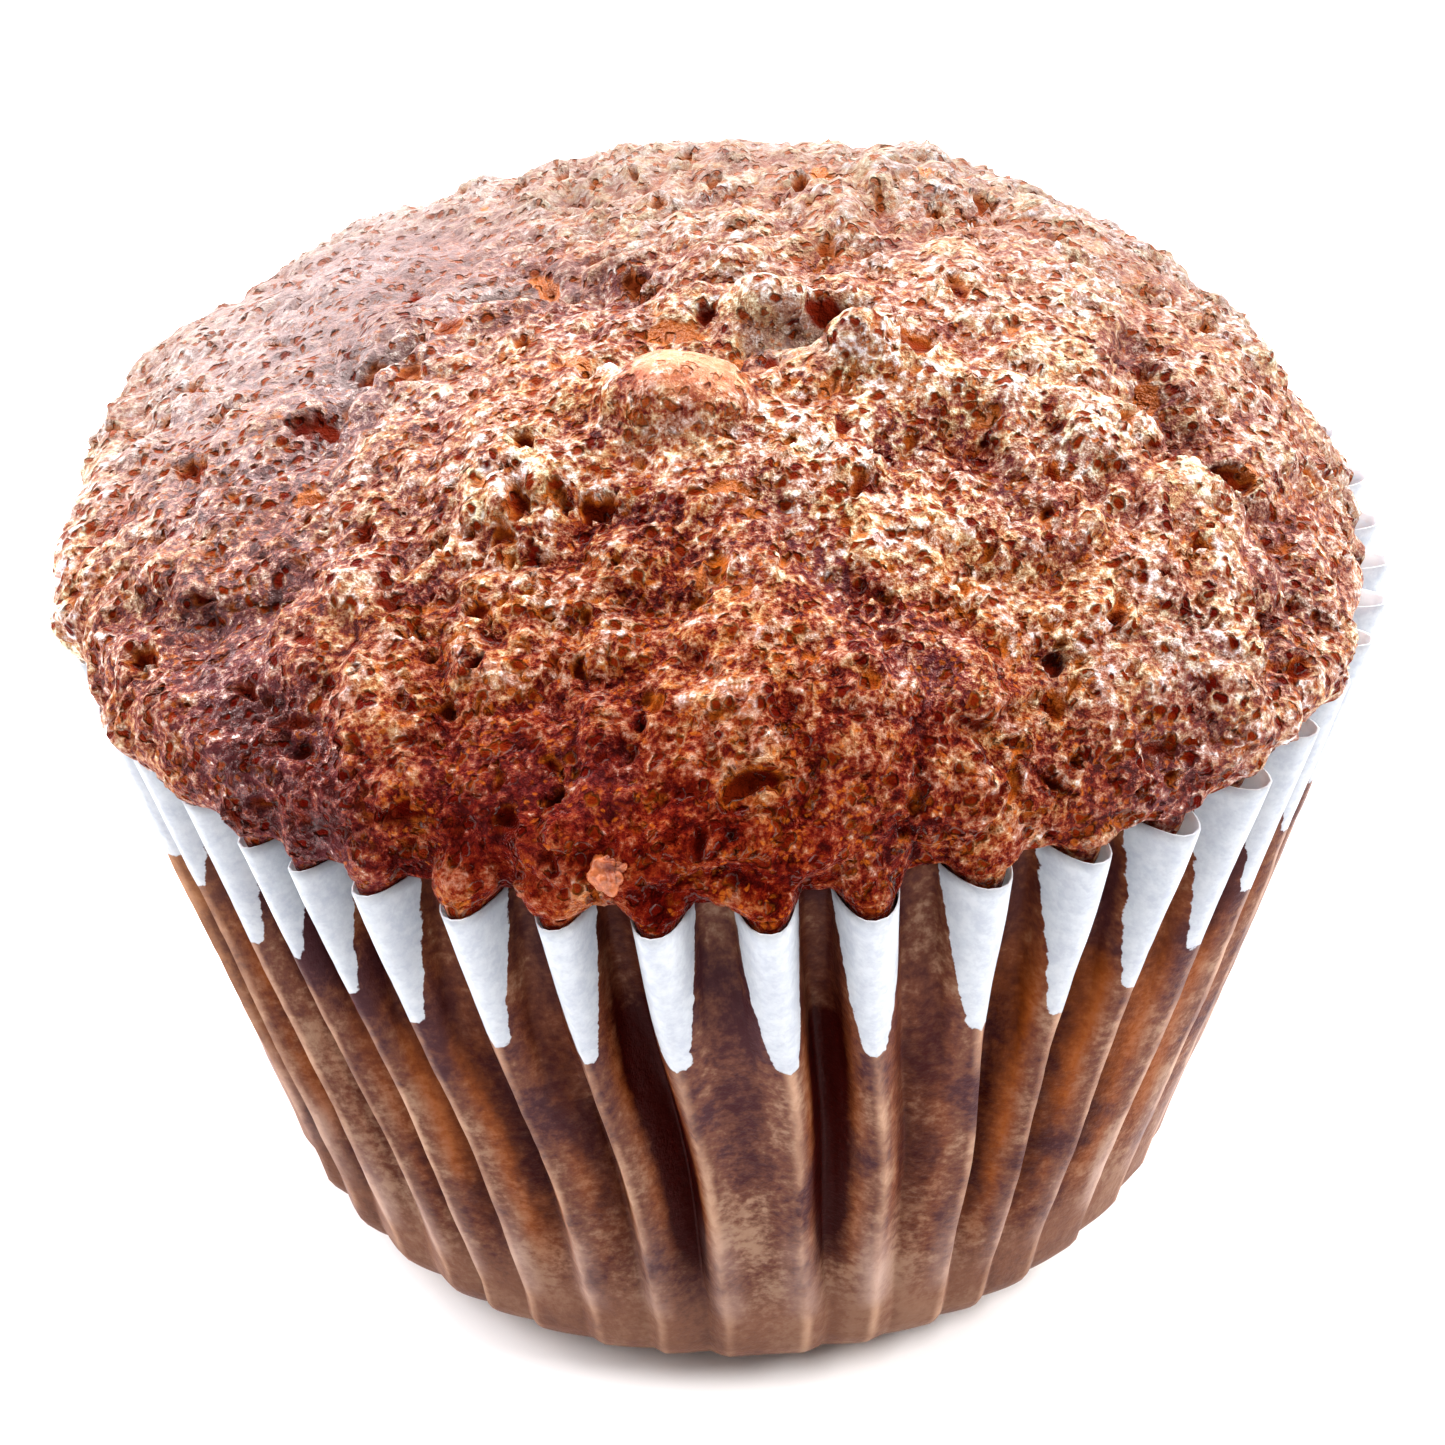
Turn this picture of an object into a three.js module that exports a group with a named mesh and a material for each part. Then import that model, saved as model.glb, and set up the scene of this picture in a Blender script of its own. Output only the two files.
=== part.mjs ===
// A muffin in its pleated paper case. Millimetres, +Z up.
// The origin is the middle of the case's base, on the surface it stands on.
// Angles run from -Y, the front, towards +X, the right.
import * as THREE from 'three';

// Paper case
const baseRadius = 25.5;
const rimRadius = 32.6;
const rimHeight = 35.4;
const rimSlope = 0.046; // rise of the rim for each millimetre towards +X
const baseRounding = 5.2;
const paperWall = 0.5;
const pleatCount = 46;
const frontPleatsStart = -40; // degrees, the first of the pleats at the front
const frontPitches = [5.2, 6.2, 7.9, 7.4, 7.5, 8.7, 7.7, 9.9, 8.3, 7.5, 8.4, 8.3, 7.7, 6.9, 6.4, 6.6];
const backPitchSwing = 0.16; // share by which the other pleats vary in width
const backPitchSeed = 42;
const pleatDepthRim = 3.1;
const pleatDepthBase = 0.6;
const pleatDepthCurve = 0.8; // less than 1 deepens the pleats sooner above the base
const crestShareRim = 0.21; // half width of an outer fold, as a share of its pleat
const crestShareBase = 0.08;
const crestCurve = 1.5; // more than 1 keeps the outer folds narrow until near the rim
const valleyShareRim = 0.06;
const valleyShareBase = 0.2;
const leanLeft = 5.6; // degrees that a fold turns between the rim and the base
const leanRight = 0.6;
const leanFront = { from: 12, to: 34 }; // fold angles between which the lean changes
const leanBack = { from: 90, to: 250 };
const arcSteps = 3;
const wallSteps = [0, 0.3, 0.57, 0.8, 1];

// Cake
const gap = 0.35; // clearance between the cake and the paper
const ledgeRise = 0.5; // the crumb's lip passes this far over the rim
const widestHeight = 38.9;
const domeRise = 11.4;
const domeFullness = 0.85; // 1 gives a parabola, less gives rounder shoulders
const domeLean = 0.6; // sideways shift of the dome for each millimetre of rise
const domeRadius = 31.6;
const domeBack = 1.8; // the dome sits this far behind the middle of the case
const domeOval = 1.75;
const domeSkew = 2.05;
const lipTuck = 0.9; // the lip's lower edge lies inside the widest line by this much
const toothDepth = 0.55; // crumb that bulges into each outer fold
const lipSwells = [
  { at: -60, width: 32, size: 4.4 },
  { at: -33, width: 13, size: 1.3 },
  { at: 17, width: 15, size: -2.0 },
];
const paperFree = { at: 64, width: 34, size: 1.3 }; // where the paper stands off the crumb
const paperFreeRise = 0.5; // share of the wall's height at which the paper comes free

// Crags of the crust: x, y of the middle, half widths along x and y, and height
const bumps = [
  { x: -2.0, y: -11.8, wide: 3.2, deep: 2.7, height: 1.5 }, // blister by the tear
  { x: 1.7, y: -4.9, wide: 2.2, deep: 1.5, height: 0.8 },
  { x: 5.7, y: -8.2, wide: 2.0, deep: 1.7, height: 0.9 },
  { x: -8.7, y: -11.1, wide: 7.5, deep: 6.0, height: 0.9 }, // front lobe
  { x: 10.1, y: -24.8, wide: 2.4, deep: 1.6, height: 0.7 },
  { x: 3.4, y: -26.1, wide: 4.6, deep: 2.8, height: 0.7 },
  { x: -21.6, y: -23.0, wide: 4.5, deep: 4.0, height: 0.8 },
  { x: -22.4, y: -3.9, wide: 6.5, deep: 7.0, height: 0.8 },
  { x: 15.4, y: -3.7, wide: 8.0, deep: 6.0, height: 0.7 },
  { x: 3.5, y: 12.0, wide: 9.0, deep: 6.0, height: 0.8 },
  { x: -30.0, y: 11.0, wide: 5.0, deep: 5.0, height: 0.8 },
  { x: -2.0, y: 20.0, wide: 6.0, deep: 5.0, height: 0.6 },
  { x: 9.5, y: 24.0, wide: 5.0, deep: 5.0, height: 0.5 },
  { x: 0.1, y: -24.8, wide: 2.2, deep: 1.8, height: 0.6 },
  { x: 20.7, y: -22.7, wide: 2.2, deep: 2.0, height: 0.6 },
  { x: -16.1, y: -18.6, wide: 2.2, deep: 2.0, height: 0.5 },
  { x: 3.5, y: -6.4, wide: 1.9, deep: 1.3, height: -1.0 }, // floor of the tear
  { x: -1.2, y: -5.5, wide: 1.4, deep: 1.1, height: -0.5 },
  { x: 13.7, y: -23.7, wide: 1.0, deep: 0.9, height: -0.8 },
  { x: -18.1, y: -24.6, wide: 2.0, deep: 1.8, height: -0.6 },
  { x: 19.6, y: -9.3, wide: 2.2, deep: 2.0, height: -0.7 },
  { x: -24.0, y: 21.0, wide: 4.0, deep: 4.0, height: -0.5 },
  { x: 28.4, y: 3.5, wide: 3.0, deep: 3.0, height: -0.6 },
];

// Cracks between the lobes: the points they pass, half width and depth
const cracks = [
  {
    through: [[-4.5, -1.0], [-9.5, 2.2], [-13.6, -0.1], [-17.2, -3.8], [-19.3, -8.3]],
    width: 1.7,
    depth: 1.4,
  },
  { through: [[-26.6, -15.4], [-23.1, -17.9], [-18.9, -17.3]], width: 1.3, depth: 1.1 },
  { through: [[-20.8, -19.3], [-19.8, -22.7], [-18.2, -26.9]], width: 1.5, depth: 0.9 },
  {
    through: [[18.9, -4.7], [19.3, -8.8], [21.7, -11.3], [24.4, -12.8], [25.1, -16.6], [23.2, -19.3]],
    width: 1.2,
    depth: 1.0,
  },
  { through: [[7.1, -14.5], [10.6, -12.6], [12.6, -16.6]], width: 1.2, depth: 0.8 },
  { through: [[19.5, -21.4], [19.6, -24.0], [18.4, -25.7]], width: 1.1, depth: 0.8 },
  { through: [[1.7, -17.5], [2.9, -20.5], [7.3, -24.0]], width: 1.0, depth: 0.6 },
  { through: [[13.7, -12.8], [15.7, -14.7], [17.3, -16.3]], width: 1.0, depth: 0.6 },
];
const waveCount = 9;
const waveHeight = 0.12;
const waveShortest = 8;
const waveLongest = 17;
const waveSeed = 7;
const domeRings = [
  { columns: 138, shares: [0.985, 0.95, 0.9, 0.85, 0.8, 0.74, 0.68, 0.61, 0.54] },
  { columns: 72, shares: [0.47, 0.4, 0.33, 0.26] },
  { columns: 36, shares: [0.19, 0.12, 0.06] },
];
const lipSteps = [1, 0.6, 0.25];

const cakeFinish = new THREE.MeshStandardMaterial({ color: 0x8a4a2c, roughness: 0.7, metalness: 0 });
const paperFinish = new THREE.MeshStandardMaterial({ color: 0xc9a78f, roughness: 0.6, metalness: 0 });

const radians = THREE.MathUtils.degToRad;
const mix = THREE.MathUtils.lerp;
const smooth = THREE.MathUtils.smoothstep;

// The same row of numbers between 0 and 1 each time
function seededRandom(seed) {
  let state = seed;
  return () => {
    state = (state * 16807) % 2147483647;
    return state / 2147483647;
  };
}

// A swell of the outline: its size at its own angle, fading over its width
function swell(angle, { at, width, size }) {
  const away = ((angle - at + 540) % 360) - 180;
  return size * Math.exp(-((away / width) ** 2));
}

// Fold angles at the rim. The front pleats have their own widths and the rest share what is left.
function foldAngles() {
  const angles = [frontPleatsStart];
  for (const pitch of frontPitches) {
    angles.push(angles[angles.length - 1] + pitch);
  }
  const frontSpan = angles[angles.length - 1] - frontPleatsStart;
  const restCount = pleatCount - frontPitches.length;
  const random = seededRandom(backPitchSeed);
  const weights = Array.from({ length: restCount }, () => 1 + backPitchSwing * (2 * random() - 1));
  const total = weights.reduce((sum, weight) => sum + weight, 0);
  for (const weight of weights.slice(0, -1)) {
    angles.push(angles[angles.length - 1] + ((360 - frontSpan) * weight) / total);
  }
  return angles;
}
const folds = foldAngles();

// Turn of a fold between the rim and the base: strong at the left and front, slight at the right
function foldLean(angle) {
  const toRight = smooth(angle, leanFront.from, leanFront.to);
  const roundBack = smooth(angle, leanBack.from, leanBack.to);
  return mix(leanLeft, leanRight, toRight) + (leanLeft - leanRight) * roundBack;
}

// Meridian of the wall: flat base, rounded edge, straight flared side.
// Each level has the radius and height of the outer folds, and its outward slant.
function wallLevels() {
  const flare = Math.atan2(rimRadius - baseRadius, rimHeight - baseRounding);
  const levels = [];
  for (let step = 0; step < arcSteps; step += 1) {
    const turn = ((Math.PI / 2 - flare) * step) / arcSteps;
    levels.push({
      radius: baseRadius - baseRounding * (1 - Math.sin(turn)),
      height: baseRounding * (1 - Math.cos(turn)),
      turn,
      lift: Math.cos(turn),
      rise: 0,
      depth: pleatDepthBase * (step / arcSteps),
    });
  }
  for (const rise of wallSteps) {
    levels.push({
      radius: mix(baseRadius, rimRadius, rise),
      height: mix(baseRounding, rimHeight, rise),
      turn: Math.PI / 2 - flare,
      lift: 0,
      rise,
      depth: mix(pleatDepthBase, pleatDepthRim, rise ** pleatDepthCurve),
    });
  }
  return levels;
}
const levels = wallLevels();

// Four stations for each pleat: both edges of the outer fold and both edges of the inner fold
function stations(rise) {
  const crest = mix(crestShareBase, crestShareRim, rise ** crestCurve);
  const valley = mix(valleyShareBase, valleyShareRim, rise);
  const list = [];
  for (let pleat = 0; pleat < pleatCount; pleat += 1) {
    const here = folds[pleat];
    const next = pleat + 1 < pleatCount ? folds[pleat + 1] : folds[0] + 360;
    const before = pleat > 0 ? folds[pleat - 1] : folds[pleatCount - 1] - 360;
    const lean = (1 - rise) * foldLean(here);
    const nextLean = (1 - rise) * foldLean(pleat + 1 < pleatCount ? next : folds[0]);
    const middle = (here + lean + next + nextLean) / 2;
    const pitch = next + nextLean - here - lean;
    list.push({ angle: here + lean - crest * (here - before), inward: 0 });
    list.push({ angle: here + lean + crest * pitch, inward: 0 });
    list.push({ angle: middle - valley * pitch, inward: 1 });
    list.push({ angle: middle + valley * pitch, inward: 1 });
  }
  return list;
}

function onCircle(angle, radius, height) {
  return new THREE.Vector3(
    radius * Math.sin(radians(angle)),
    -radius * Math.cos(radians(angle)),
    height,
  );
}

// One pleated ring of the wall, moved inwards across the wall by inset
function pleatedRing(level, inset, free) {
  return stations(level.rise).map(({ angle, inward }) => {
    const standOff = free ? swell(angle, paperFree) * smooth(level.rise, paperFreeRise, 1) : 0;
    const radius = level.radius - level.depth * inward - inset * Math.sin(level.turn) - standOff;
    const lift = inset * level.lift + (free ? gap * level.rise : 0);
    const point = onCircle(angle, radius, level.height + lift);
    point.z += rimSlope * point.x * (level.height / rimHeight);
    return point;
  });
}

// Collects rings of points and the faces between them
class Skin {
  constructor() {
    this.points = [];
    this.faces = [];
  }

  ring(points) {
    return points.map((point) => this.points.push(point) - 1);
  }

  // Faces between two rings that run the same way round, whatever their counts
  band(lower, upper, facesIn = false) {
    const side = (first, second, third) => (facesIn ? [first, third, second] : [first, second, third]);
    let i = 0;
    let j = 0;
    while (i < lower.length || j < upper.length) {
      const a = lower[i % lower.length];
      const b = upper[j % upper.length];
      const nextA = lower[(i + 1) % lower.length];
      const nextB = upper[(j + 1) % upper.length];
      const lowerStep = this.points[nextA].distanceToSquared(this.points[b]);
      const upperStep = this.points[a].distanceToSquared(this.points[nextB]);
      const even = lower.length === upper.length;
      const takeLower = even ? i === j : lowerStep <= upperStep;
      if (j === upper.length || (i < lower.length && takeLower)) {
        this.faces.push(...side(a, nextA, b));
        i += 1;
      } else {
        this.faces.push(...side(a, nextB, b));
        j += 1;
      }
    }
  }

  // Faces from a ring to one point, facing up or down
  cap(ring, point, facesUp) {
    const middle = this.points.push(point) - 1;
    ring.forEach((here, index) => {
      const next = ring[(index + 1) % ring.length];
      this.faces.push(...(facesUp ? [here, next, middle] : [next, here, middle]));
    });
  }

  geometry() {
    const geometry = new THREE.BufferGeometry().setFromPoints(this.points);
    geometry.setIndex(this.faces);
    geometry.computeVertexNormals();
    return geometry;
  }
}

function namedMesh(name, skin, finish) {
  const mesh = new THREE.Mesh(skin.geometry(), finish);
  mesh.name = name;
  return mesh;
}

// The case: an outside and an inside skin, joined at the rim
function paperCase() {
  const skin = new Skin();
  const outside = levels.map((level) => skin.ring(pleatedRing(level, 0, false)));
  const inside = levels.map((level) => skin.ring(pleatedRing(level, paperWall, false)));
  skin.cap(outside[0], new THREE.Vector3(0, 0, 0), false);
  skin.cap(inside[0], new THREE.Vector3(0, 0, paperWall), true);
  for (let level = 1; level < levels.length; level += 1) {
    skin.band(outside[level - 1], outside[level]);
    skin.band(inside[level - 1], inside[level], true);
  }
  skin.band(outside[levels.length - 1], inside[levels.length - 1]);
  return namedMesh('paper_case', skin, paperFinish);
}

// Long low waves over the crust, in seeded directions
function crustWaves() {
  const random = seededRandom(waveSeed);
  return Array.from({ length: waveCount }, () => {
    const direction = new THREE.Vector3(random() - 0.5, random() - 0.5, random() - 0.5);
    const length = mix(waveShortest, waveLongest, random());
    direction.normalize().multiplyScalar((2 * Math.PI) / length);
    return { direction, phase: 2 * Math.PI * random() };
  });
}
const waves = crustWaves();

function distanceToPath(x, y, path) {
  const spot = new THREE.Vector3(x, y, 0);
  const nearest = new THREE.Vector3();
  let least = Infinity;
  path.slice(1).forEach((end, index) => {
    const start = path[index];
    const line = new THREE.Line3(new THREE.Vector3(...start, 0), new THREE.Vector3(...end, 0));
    line.closestPointToPoint(spot, true, nearest);
    least = Math.min(least, nearest.distanceTo(spot));
  });
  return least;
}

// Height of the crags over the smooth dome at a point
function relief(point) {
  let height = 0;
  for (const { direction, phase } of waves) {
    height += waveHeight * Math.sin(direction.dot(point) + phase);
  }
  for (const bump of bumps) {
    const across = (point.x - bump.x) / bump.wide;
    const along = (point.y - bump.y) / bump.deep;
    height += bump.height * Math.exp(-(across ** 2 + along ** 2));
  }
  for (const crack of cracks) {
    const away = distanceToPath(point.x, point.y, crack.through) / crack.width;
    height -= crack.depth * Math.exp(-(away ** 2));
  }
  return height;
}

function widestRadius(angle) {
  const turn = radians(angle);
  const round = domeRadius - domeBack * Math.cos(turn);
  const oval = domeOval * Math.cos(2 * turn) + domeSkew * Math.sin(2 * turn);
  return round + oval + lipSwells.reduce((sum, one) => sum + swell(angle, one), 0);
}

// A point of the crust above the widest line: share is 0 at the top and 1 at that line
function domePoint(share, angle) {
  const rise = domeRise * (1 - share ** 2) ** domeFullness;
  const point = onCircle(angle, share * widestRadius(angle), widestHeight + rise);
  point.x += domeLean * rise;
  const outward = onCircle(angle, share, Math.sqrt(1 - share ** 2));
  return point.addScaledVector(outward, relief(point));
}

// A point of the lip: share is 1 at its lower edge and 0 at the widest line
function lipPoint(share, angle, tooth) {
  const widest = widestRadius(angle);
  const tuck = lipTuck * (1 - Math.cos((share * Math.PI) / 2)) - tooth * share;
  const point = onCircle(angle, widest - tuck, 0);
  const edge = rimHeight + rimSlope * point.x + ledgeRise;
  point.z = mix(widestHeight, edge, Math.sin((share * Math.PI) / 2));
  const outward = onCircle(angle, 1, 0);
  return point.addScaledVector(outward, relief(point) * (1 - share));
}

// The cake: its base and sides fill the paper, and its dome stands over the rim
function cake() {
  const skin = new Skin();
  const inset = paperWall + gap;
  const sides = levels.map((level) => skin.ring(pleatedRing(level, inset, true)));
  skin.cap(sides[0], new THREE.Vector3(0, 0, inset), false);
  const rings = [...sides];
  for (const step of lipSteps) {
    const tooth = ({ inward }) => toothDepth * (1 - 2 * inward);
    rings.push(skin.ring(stations(1).map((station) => lipPoint(step, station.angle, tooth(station)))));
  }
  for (const { columns, shares } of [{ columns: domeRings[0].columns, shares: [1] }, ...domeRings]) {
    for (const share of shares) {
      const angles = Array.from({ length: columns }, (_, column) => folds[0] + (360 * column) / columns);
      rings.push(skin.ring(angles.map((angle) => domePoint(share, angle))));
    }
  }
  rings.slice(1).forEach((ring, index) => skin.band(rings[index], ring));
  skin.cap(rings[rings.length - 1], domePoint(0, 0), true);
  return namedMesh('cake', skin, cakeFinish);
}

const group = new THREE.Group();
group.add(paperCase(), cake());

export default group;
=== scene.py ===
# A muffin in its pleated paper case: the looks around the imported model.
# Shapes are worked out in millimetres and put into the meshes in metres. +Z is up.
# Angles run from -Y, the front, towards +X, the right, in degrees.
import math

import bpy
import numpy as np
from mathutils import Matrix


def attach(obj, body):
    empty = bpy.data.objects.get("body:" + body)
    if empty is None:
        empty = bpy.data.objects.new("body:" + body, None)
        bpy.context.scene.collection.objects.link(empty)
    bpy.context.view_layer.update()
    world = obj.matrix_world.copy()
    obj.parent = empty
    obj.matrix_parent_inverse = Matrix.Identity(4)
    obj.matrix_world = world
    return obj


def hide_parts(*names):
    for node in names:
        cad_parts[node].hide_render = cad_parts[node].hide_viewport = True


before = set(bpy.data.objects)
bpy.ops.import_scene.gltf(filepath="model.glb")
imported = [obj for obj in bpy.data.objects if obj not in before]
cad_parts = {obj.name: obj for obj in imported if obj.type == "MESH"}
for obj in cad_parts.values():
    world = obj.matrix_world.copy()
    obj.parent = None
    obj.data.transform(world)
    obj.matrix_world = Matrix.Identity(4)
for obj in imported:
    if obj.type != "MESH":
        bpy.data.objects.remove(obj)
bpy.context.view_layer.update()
print("frame loaded:", sorted(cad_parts))

millimetre = 0.001


# small tools for shapes

# t from 0 to 1 between low and high, eased at both ends: t * t * (3 - 2t)
def ease(low, high, x):
    t = np.clip((x - low) / (high - low), 0, 1)
    return t * t * (3 - 2 * t)


# t of the way from a to b: a + (b - a) * t
def blend(a, b, t):
    return a + (b - a) * t


# bell-shaped swell round an angle: size * exp(-(away / width)^2)
def swell(angle, at, width, size):
    away = (angle - at + 540) % 360 - 180
    return size * np.exp(-((away / width) ** 2))


# the same row of numbers between 0 and 1 each time: state = state * 16807 mod (2^31 - 1)
def seededRow(seed, count):
    state, row = seed, []
    for _ in range(count):
        state = state * 16807 % 2147483647
        row.append(state / 2147483647)
    return np.array(row)


# whole-number corners of a lattice to numbers between 0 and 1, by mixing their bits
def latticeNumber(ix, iy, iz, seed):
    h = ix * 374761393 + iy * 668265263 + iz * 2147483647 + seed * 1274126177
    h = (h ^ (h >> 13)) & 0xFFFFFFFF
    h = (h * 1274126177) & 0xFFFFFFFF
    h = (h ^ (h >> 16)) & 0xFFFFFFFF
    h = (h * 2246822519) & 0xFFFFFFFF
    return ((h ^ (h >> 15)) & 0xFFFFFF) / 16777215.0


# smooth noise from -1 to 1: the eight lattice numbers round a point, blended by quintic weights
def softNoise(points, size, seed):
    p = points / size
    base = np.floor(p).astype(np.int64)
    f = p - base
    w = f * f * f * (f * (f * 6 - 15) + 10)
    total = np.zeros(len(points))
    for corner in range(8):
        dx, dy, dz = corner & 1, corner >> 1 & 1, corner >> 2 & 1
        weight = (
            (w[:, 0] if dx else 1 - w[:, 0])
            * (w[:, 1] if dy else 1 - w[:, 1])
            * (w[:, 2] if dz else 1 - w[:, 2])
        )
        total += weight * latticeNumber(base[:, 0] + dx, base[:, 1] + dy, base[:, 2] + dz, seed)
    return total * 2 - 1


# noise in octaves: each half the size and half the height of the last
def roughNoise(points, size, seed, octaves=3):
    total, height = 0, 1.0
    for octave in range(octaves):
        total = total + height * softNoise(points, size / 2**octave, seed + octave)
        height *= 0.5
    return total


# points moved about by three noises, so that what is laid on them loses its round outlines
def stirred(points, size, amount, seed):
    moves = [softNoise(points, size, seed + 7 * k) for k in range(3)]
    return points + amount * np.stack(moves, 1)


# crumb lumps: 1 - |noise| turned over, so rounded tops meet in sharp creases
def lumps(points, size, seed):
    return np.abs(softNoise(points, size, seed)) * 2 - 0.6


# pits: one pit centre in each lattice cell, jittered, some left out. The depth at a point is
# the deepest of radius * sqrt(1 - (distance / radius)^2) over the 27 cells round it, and the rim
# is the highest of radius * exp(-((distance / radius - 1.15) / 0.2)^2).
def pits(points, size, seed, share, smallest, largest):
    p = points / size
    base = np.floor(p).astype(np.int64)
    depth = np.zeros(len(points))
    rim = np.zeros(len(points))
    for step in range(27):
        cx = base[:, 0] + step % 3 - 1
        cy = base[:, 1] + step // 3 % 3 - 1
        cz = base[:, 2] + step // 9 - 1
        jitter = [latticeNumber(cx, cy, cz, seed + 11 * k) for k in range(3)]
        away = (np.stack([cx + jitter[0], cy + jitter[1], cz + jitter[2]], 1) - p) * size
        stretch = latticeNumber(cx, cy, cz, seed + 51) * 2 * np.pi
        along = away[:, 0] * np.cos(stretch) + away[:, 1] * np.sin(stretch)
        squeezed = np.sqrt((away**2).sum(1) - 0.45 * along**2)
        chance = latticeNumber(cx, cy, cz, seed + 71)
        radius = blend(smallest, largest, latticeNumber(cx, cy, cz, seed + 91) ** 2)
        bowl = np.sqrt(np.clip(1 - (squeezed / radius) ** 2, 0, 1))
        raised = np.exp(-(((squeezed / radius - 1.15) / 0.2) ** 2))
        depth = np.maximum(depth, np.where(chance < share, radius * bowl, 0))
        rim = np.maximum(rim, np.where(chance < share, radius * raised, 0))
    return depth, rim


# least distance from points in plan to a path of straight stretches
def pathDistance(x, y, path):
    least = np.full(x.shape, 1e9)
    for (ax, ay), (bx, by) in zip(path[:-1], path[1:]):
        lengthSquared = (bx - ax) ** 2 + (by - ay) ** 2
        t = np.clip(((x - ax) * (bx - ax) + (y - ay) * (by - ay)) / lengthSquared, 0, 1)
        least = np.minimum(least, np.hypot(x - ax - t * (bx - ax), y - ay - t * (by - ay)))
    return least


# mounds in plan added up: height * exp(-((x - its x) / wide)^2 - ((y - its y) / deep)^2)
def mounds(x, y, rows):
    total = np.zeros(len(x))
    for atX, atY, wide, deep, height in rows:
        total += height * np.exp(-(((x - atX) / wide) ** 2 + ((y - atY) / deep) ** 2))
    return total


# grooves along paths in plan added up: depth * exp(-(distance / half width)^2), under 0 for a ridge
def grooves(x, y, rows):
    total = np.zeros(len(x))
    for path, halfWidth, depth in rows:
        total += depth * np.exp(-((pathDistance(x, y, path) / halfWidth) ** 2))
    return total


# a mesh object from points in millimetres, quads and triangles, with values at its vertices
def addPiece(name, points, quads, triangles, values):
    mesh = bpy.data.meshes.new(name)
    corners = np.concatenate([quads.ravel(), triangles.ravel()])
    sizes = np.concatenate([np.full(len(quads), 4), np.full(len(triangles), 3)])
    starts = np.concatenate([[0], np.cumsum(sizes)[:-1]])
    mesh.vertices.add(len(points))
    mesh.vertices.foreach_set("co", (points * millimetre).astype(np.float32).ravel())
    mesh.loops.add(len(corners))
    mesh.loops.foreach_set("vertex_index", corners.astype(np.int32))
    mesh.polygons.add(len(sizes))
    mesh.polygons.foreach_set("loop_start", starts.astype(np.int32))
    mesh.update(calc_edges=True)
    mesh.validate()
    mesh.shade_smooth()
    for key, value in values.items():
        layer = mesh.attributes.new(key, "FLOAT", "POINT")
        layer.data.foreach_set("value", value.astype(np.float32).ravel())
    piece = bpy.data.objects.new(name, mesh)
    bpy.context.scene.collection.objects.link(piece)
    return piece


# quads between rings of equal count, each ring a row of vertex numbers, lowest ring first
def ringQuads(rings):
    turned = np.roll(rings, -1, axis=1)
    return np.stack([rings[:-1], turned[:-1], turned[1:], rings[1:]], -1).reshape(-1, 4)


# the paper case

case = dict(
    baseRadius=25.5,
    rimRadius=32.6,
    rimHeight=35.4,
    rimSlope=0.046,
    baseRounding=5.2,
    thickness=0.13,
    pleats=46,
    frontStart=-40.0,
    # degrees from each front fold to the next, from the left; the others share what is left
    frontPitches=(5.2, 6.2, 7.9, 7.4, 7.5, 8.7, 7.7, 9.9, 8.3, 7.5, 8.4, 8.3, 7.7, 6.9, 6.4, 6.6),
    backSwing=0.16,
    depthRim=3.1,
    depthBase=0.6,
    depthCurve=0.8,
    mouthShare=0.34,
    mouthRoundness=2.5,
    panelRoundness=1.25,
    wobble=0.45,
    # lean of the folds in degrees: left, right, and the angles between which it turns and comes back
    leanLeft=5.6,
    leanRight=0.6,
    leanTurn=(12, 34),
    leanReturn=(90, 250),
    # how far each front fold stands in or out at the rim, and how deep the valley after it is below
    crestShift=(0, 0, 0, 0, -0.3, -0.2, -0.35, -0.5, -0.9, -0.4, 0.3, 0.2, -0.2, -0.5, -0.4, -0.3, -0.2),
    valleyFill=(0.9, 0.85, 0.7, 0.75, 1.2, 0.25, 1.15, 0.55, 1, 0.95, 0.85, 0.8, 0.8, 0.8, 0.8, 0.8, 0.8),
    # share of the way from one fold to the next at which the panel is deepest
    valleyPlace=(
        0.8, 0.8, 0.78, 0.78, 0.7, 0.5, 0.35, 0.3,
        0.22, 0.22, 0.22, 0.22, 0.22, 0.22, 0.22, 0.25, 0.3,
    ),
    # rises between which the rim's shape takes over: rounded folds, even depth, crest shifts
    mouthFade=(0.45, 0.95),
    fillFade=(0.72, 0.97),
    shiftFade=(0.3, 1),
    columnsPerPleat=20,
    flatRows=4,
    arcRows=9,
    wallRows=44,
    rowCurve=0.93,
    crinkle=0.07,
    crinkleSize=2.4,
)


# angles of the outer folds: front pitches added up, then seeded pitches round the back
def foldAngles(c):
    front = c["frontStart"] + np.concatenate([[0], np.cumsum(c["frontPitches"])])
    restCount = c["pleats"] - len(c["frontPitches"])
    weights = 1 + c["backSwing"] * (2 * seededRow(42, restCount) - 1)
    span = 360 - (front[-1] - front[0])
    back = front[-1] + span * np.cumsum(weights)[:-1] / weights.sum()
    return np.concatenate([front, back])


folds = foldAngles(case)


# a short row of front values, then middle + swing * (a seeded number from -1 to 1) for the others
def perPleat(values, middle, swing, seed):
    rest = middle + swing * (2 * seededRow(seed, case["pleats"] - len(values)) - 1)
    return np.concatenate([values, rest])


crestShift = perPleat(case["crestShift"], 0.0, 0.35, 5)
valleyFill = perPleat(case["valleyFill"], 0.85, 0.25, 9)
valleyPlace = perPleat(case["valleyPlace"], 0.5, 0.25, 11)
wobblePhase = seededRow(13, case["pleats"]) * 2 * math.pi


# lean of a fold at the base, blended from the left's to the right's and back again
def foldLean(angle):
    toRight = ease(*case["leanTurn"], angle) - ease(*case["leanReturn"], angle)
    return blend(case["leanLeft"], case["leanRight"], toRight)


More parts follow.
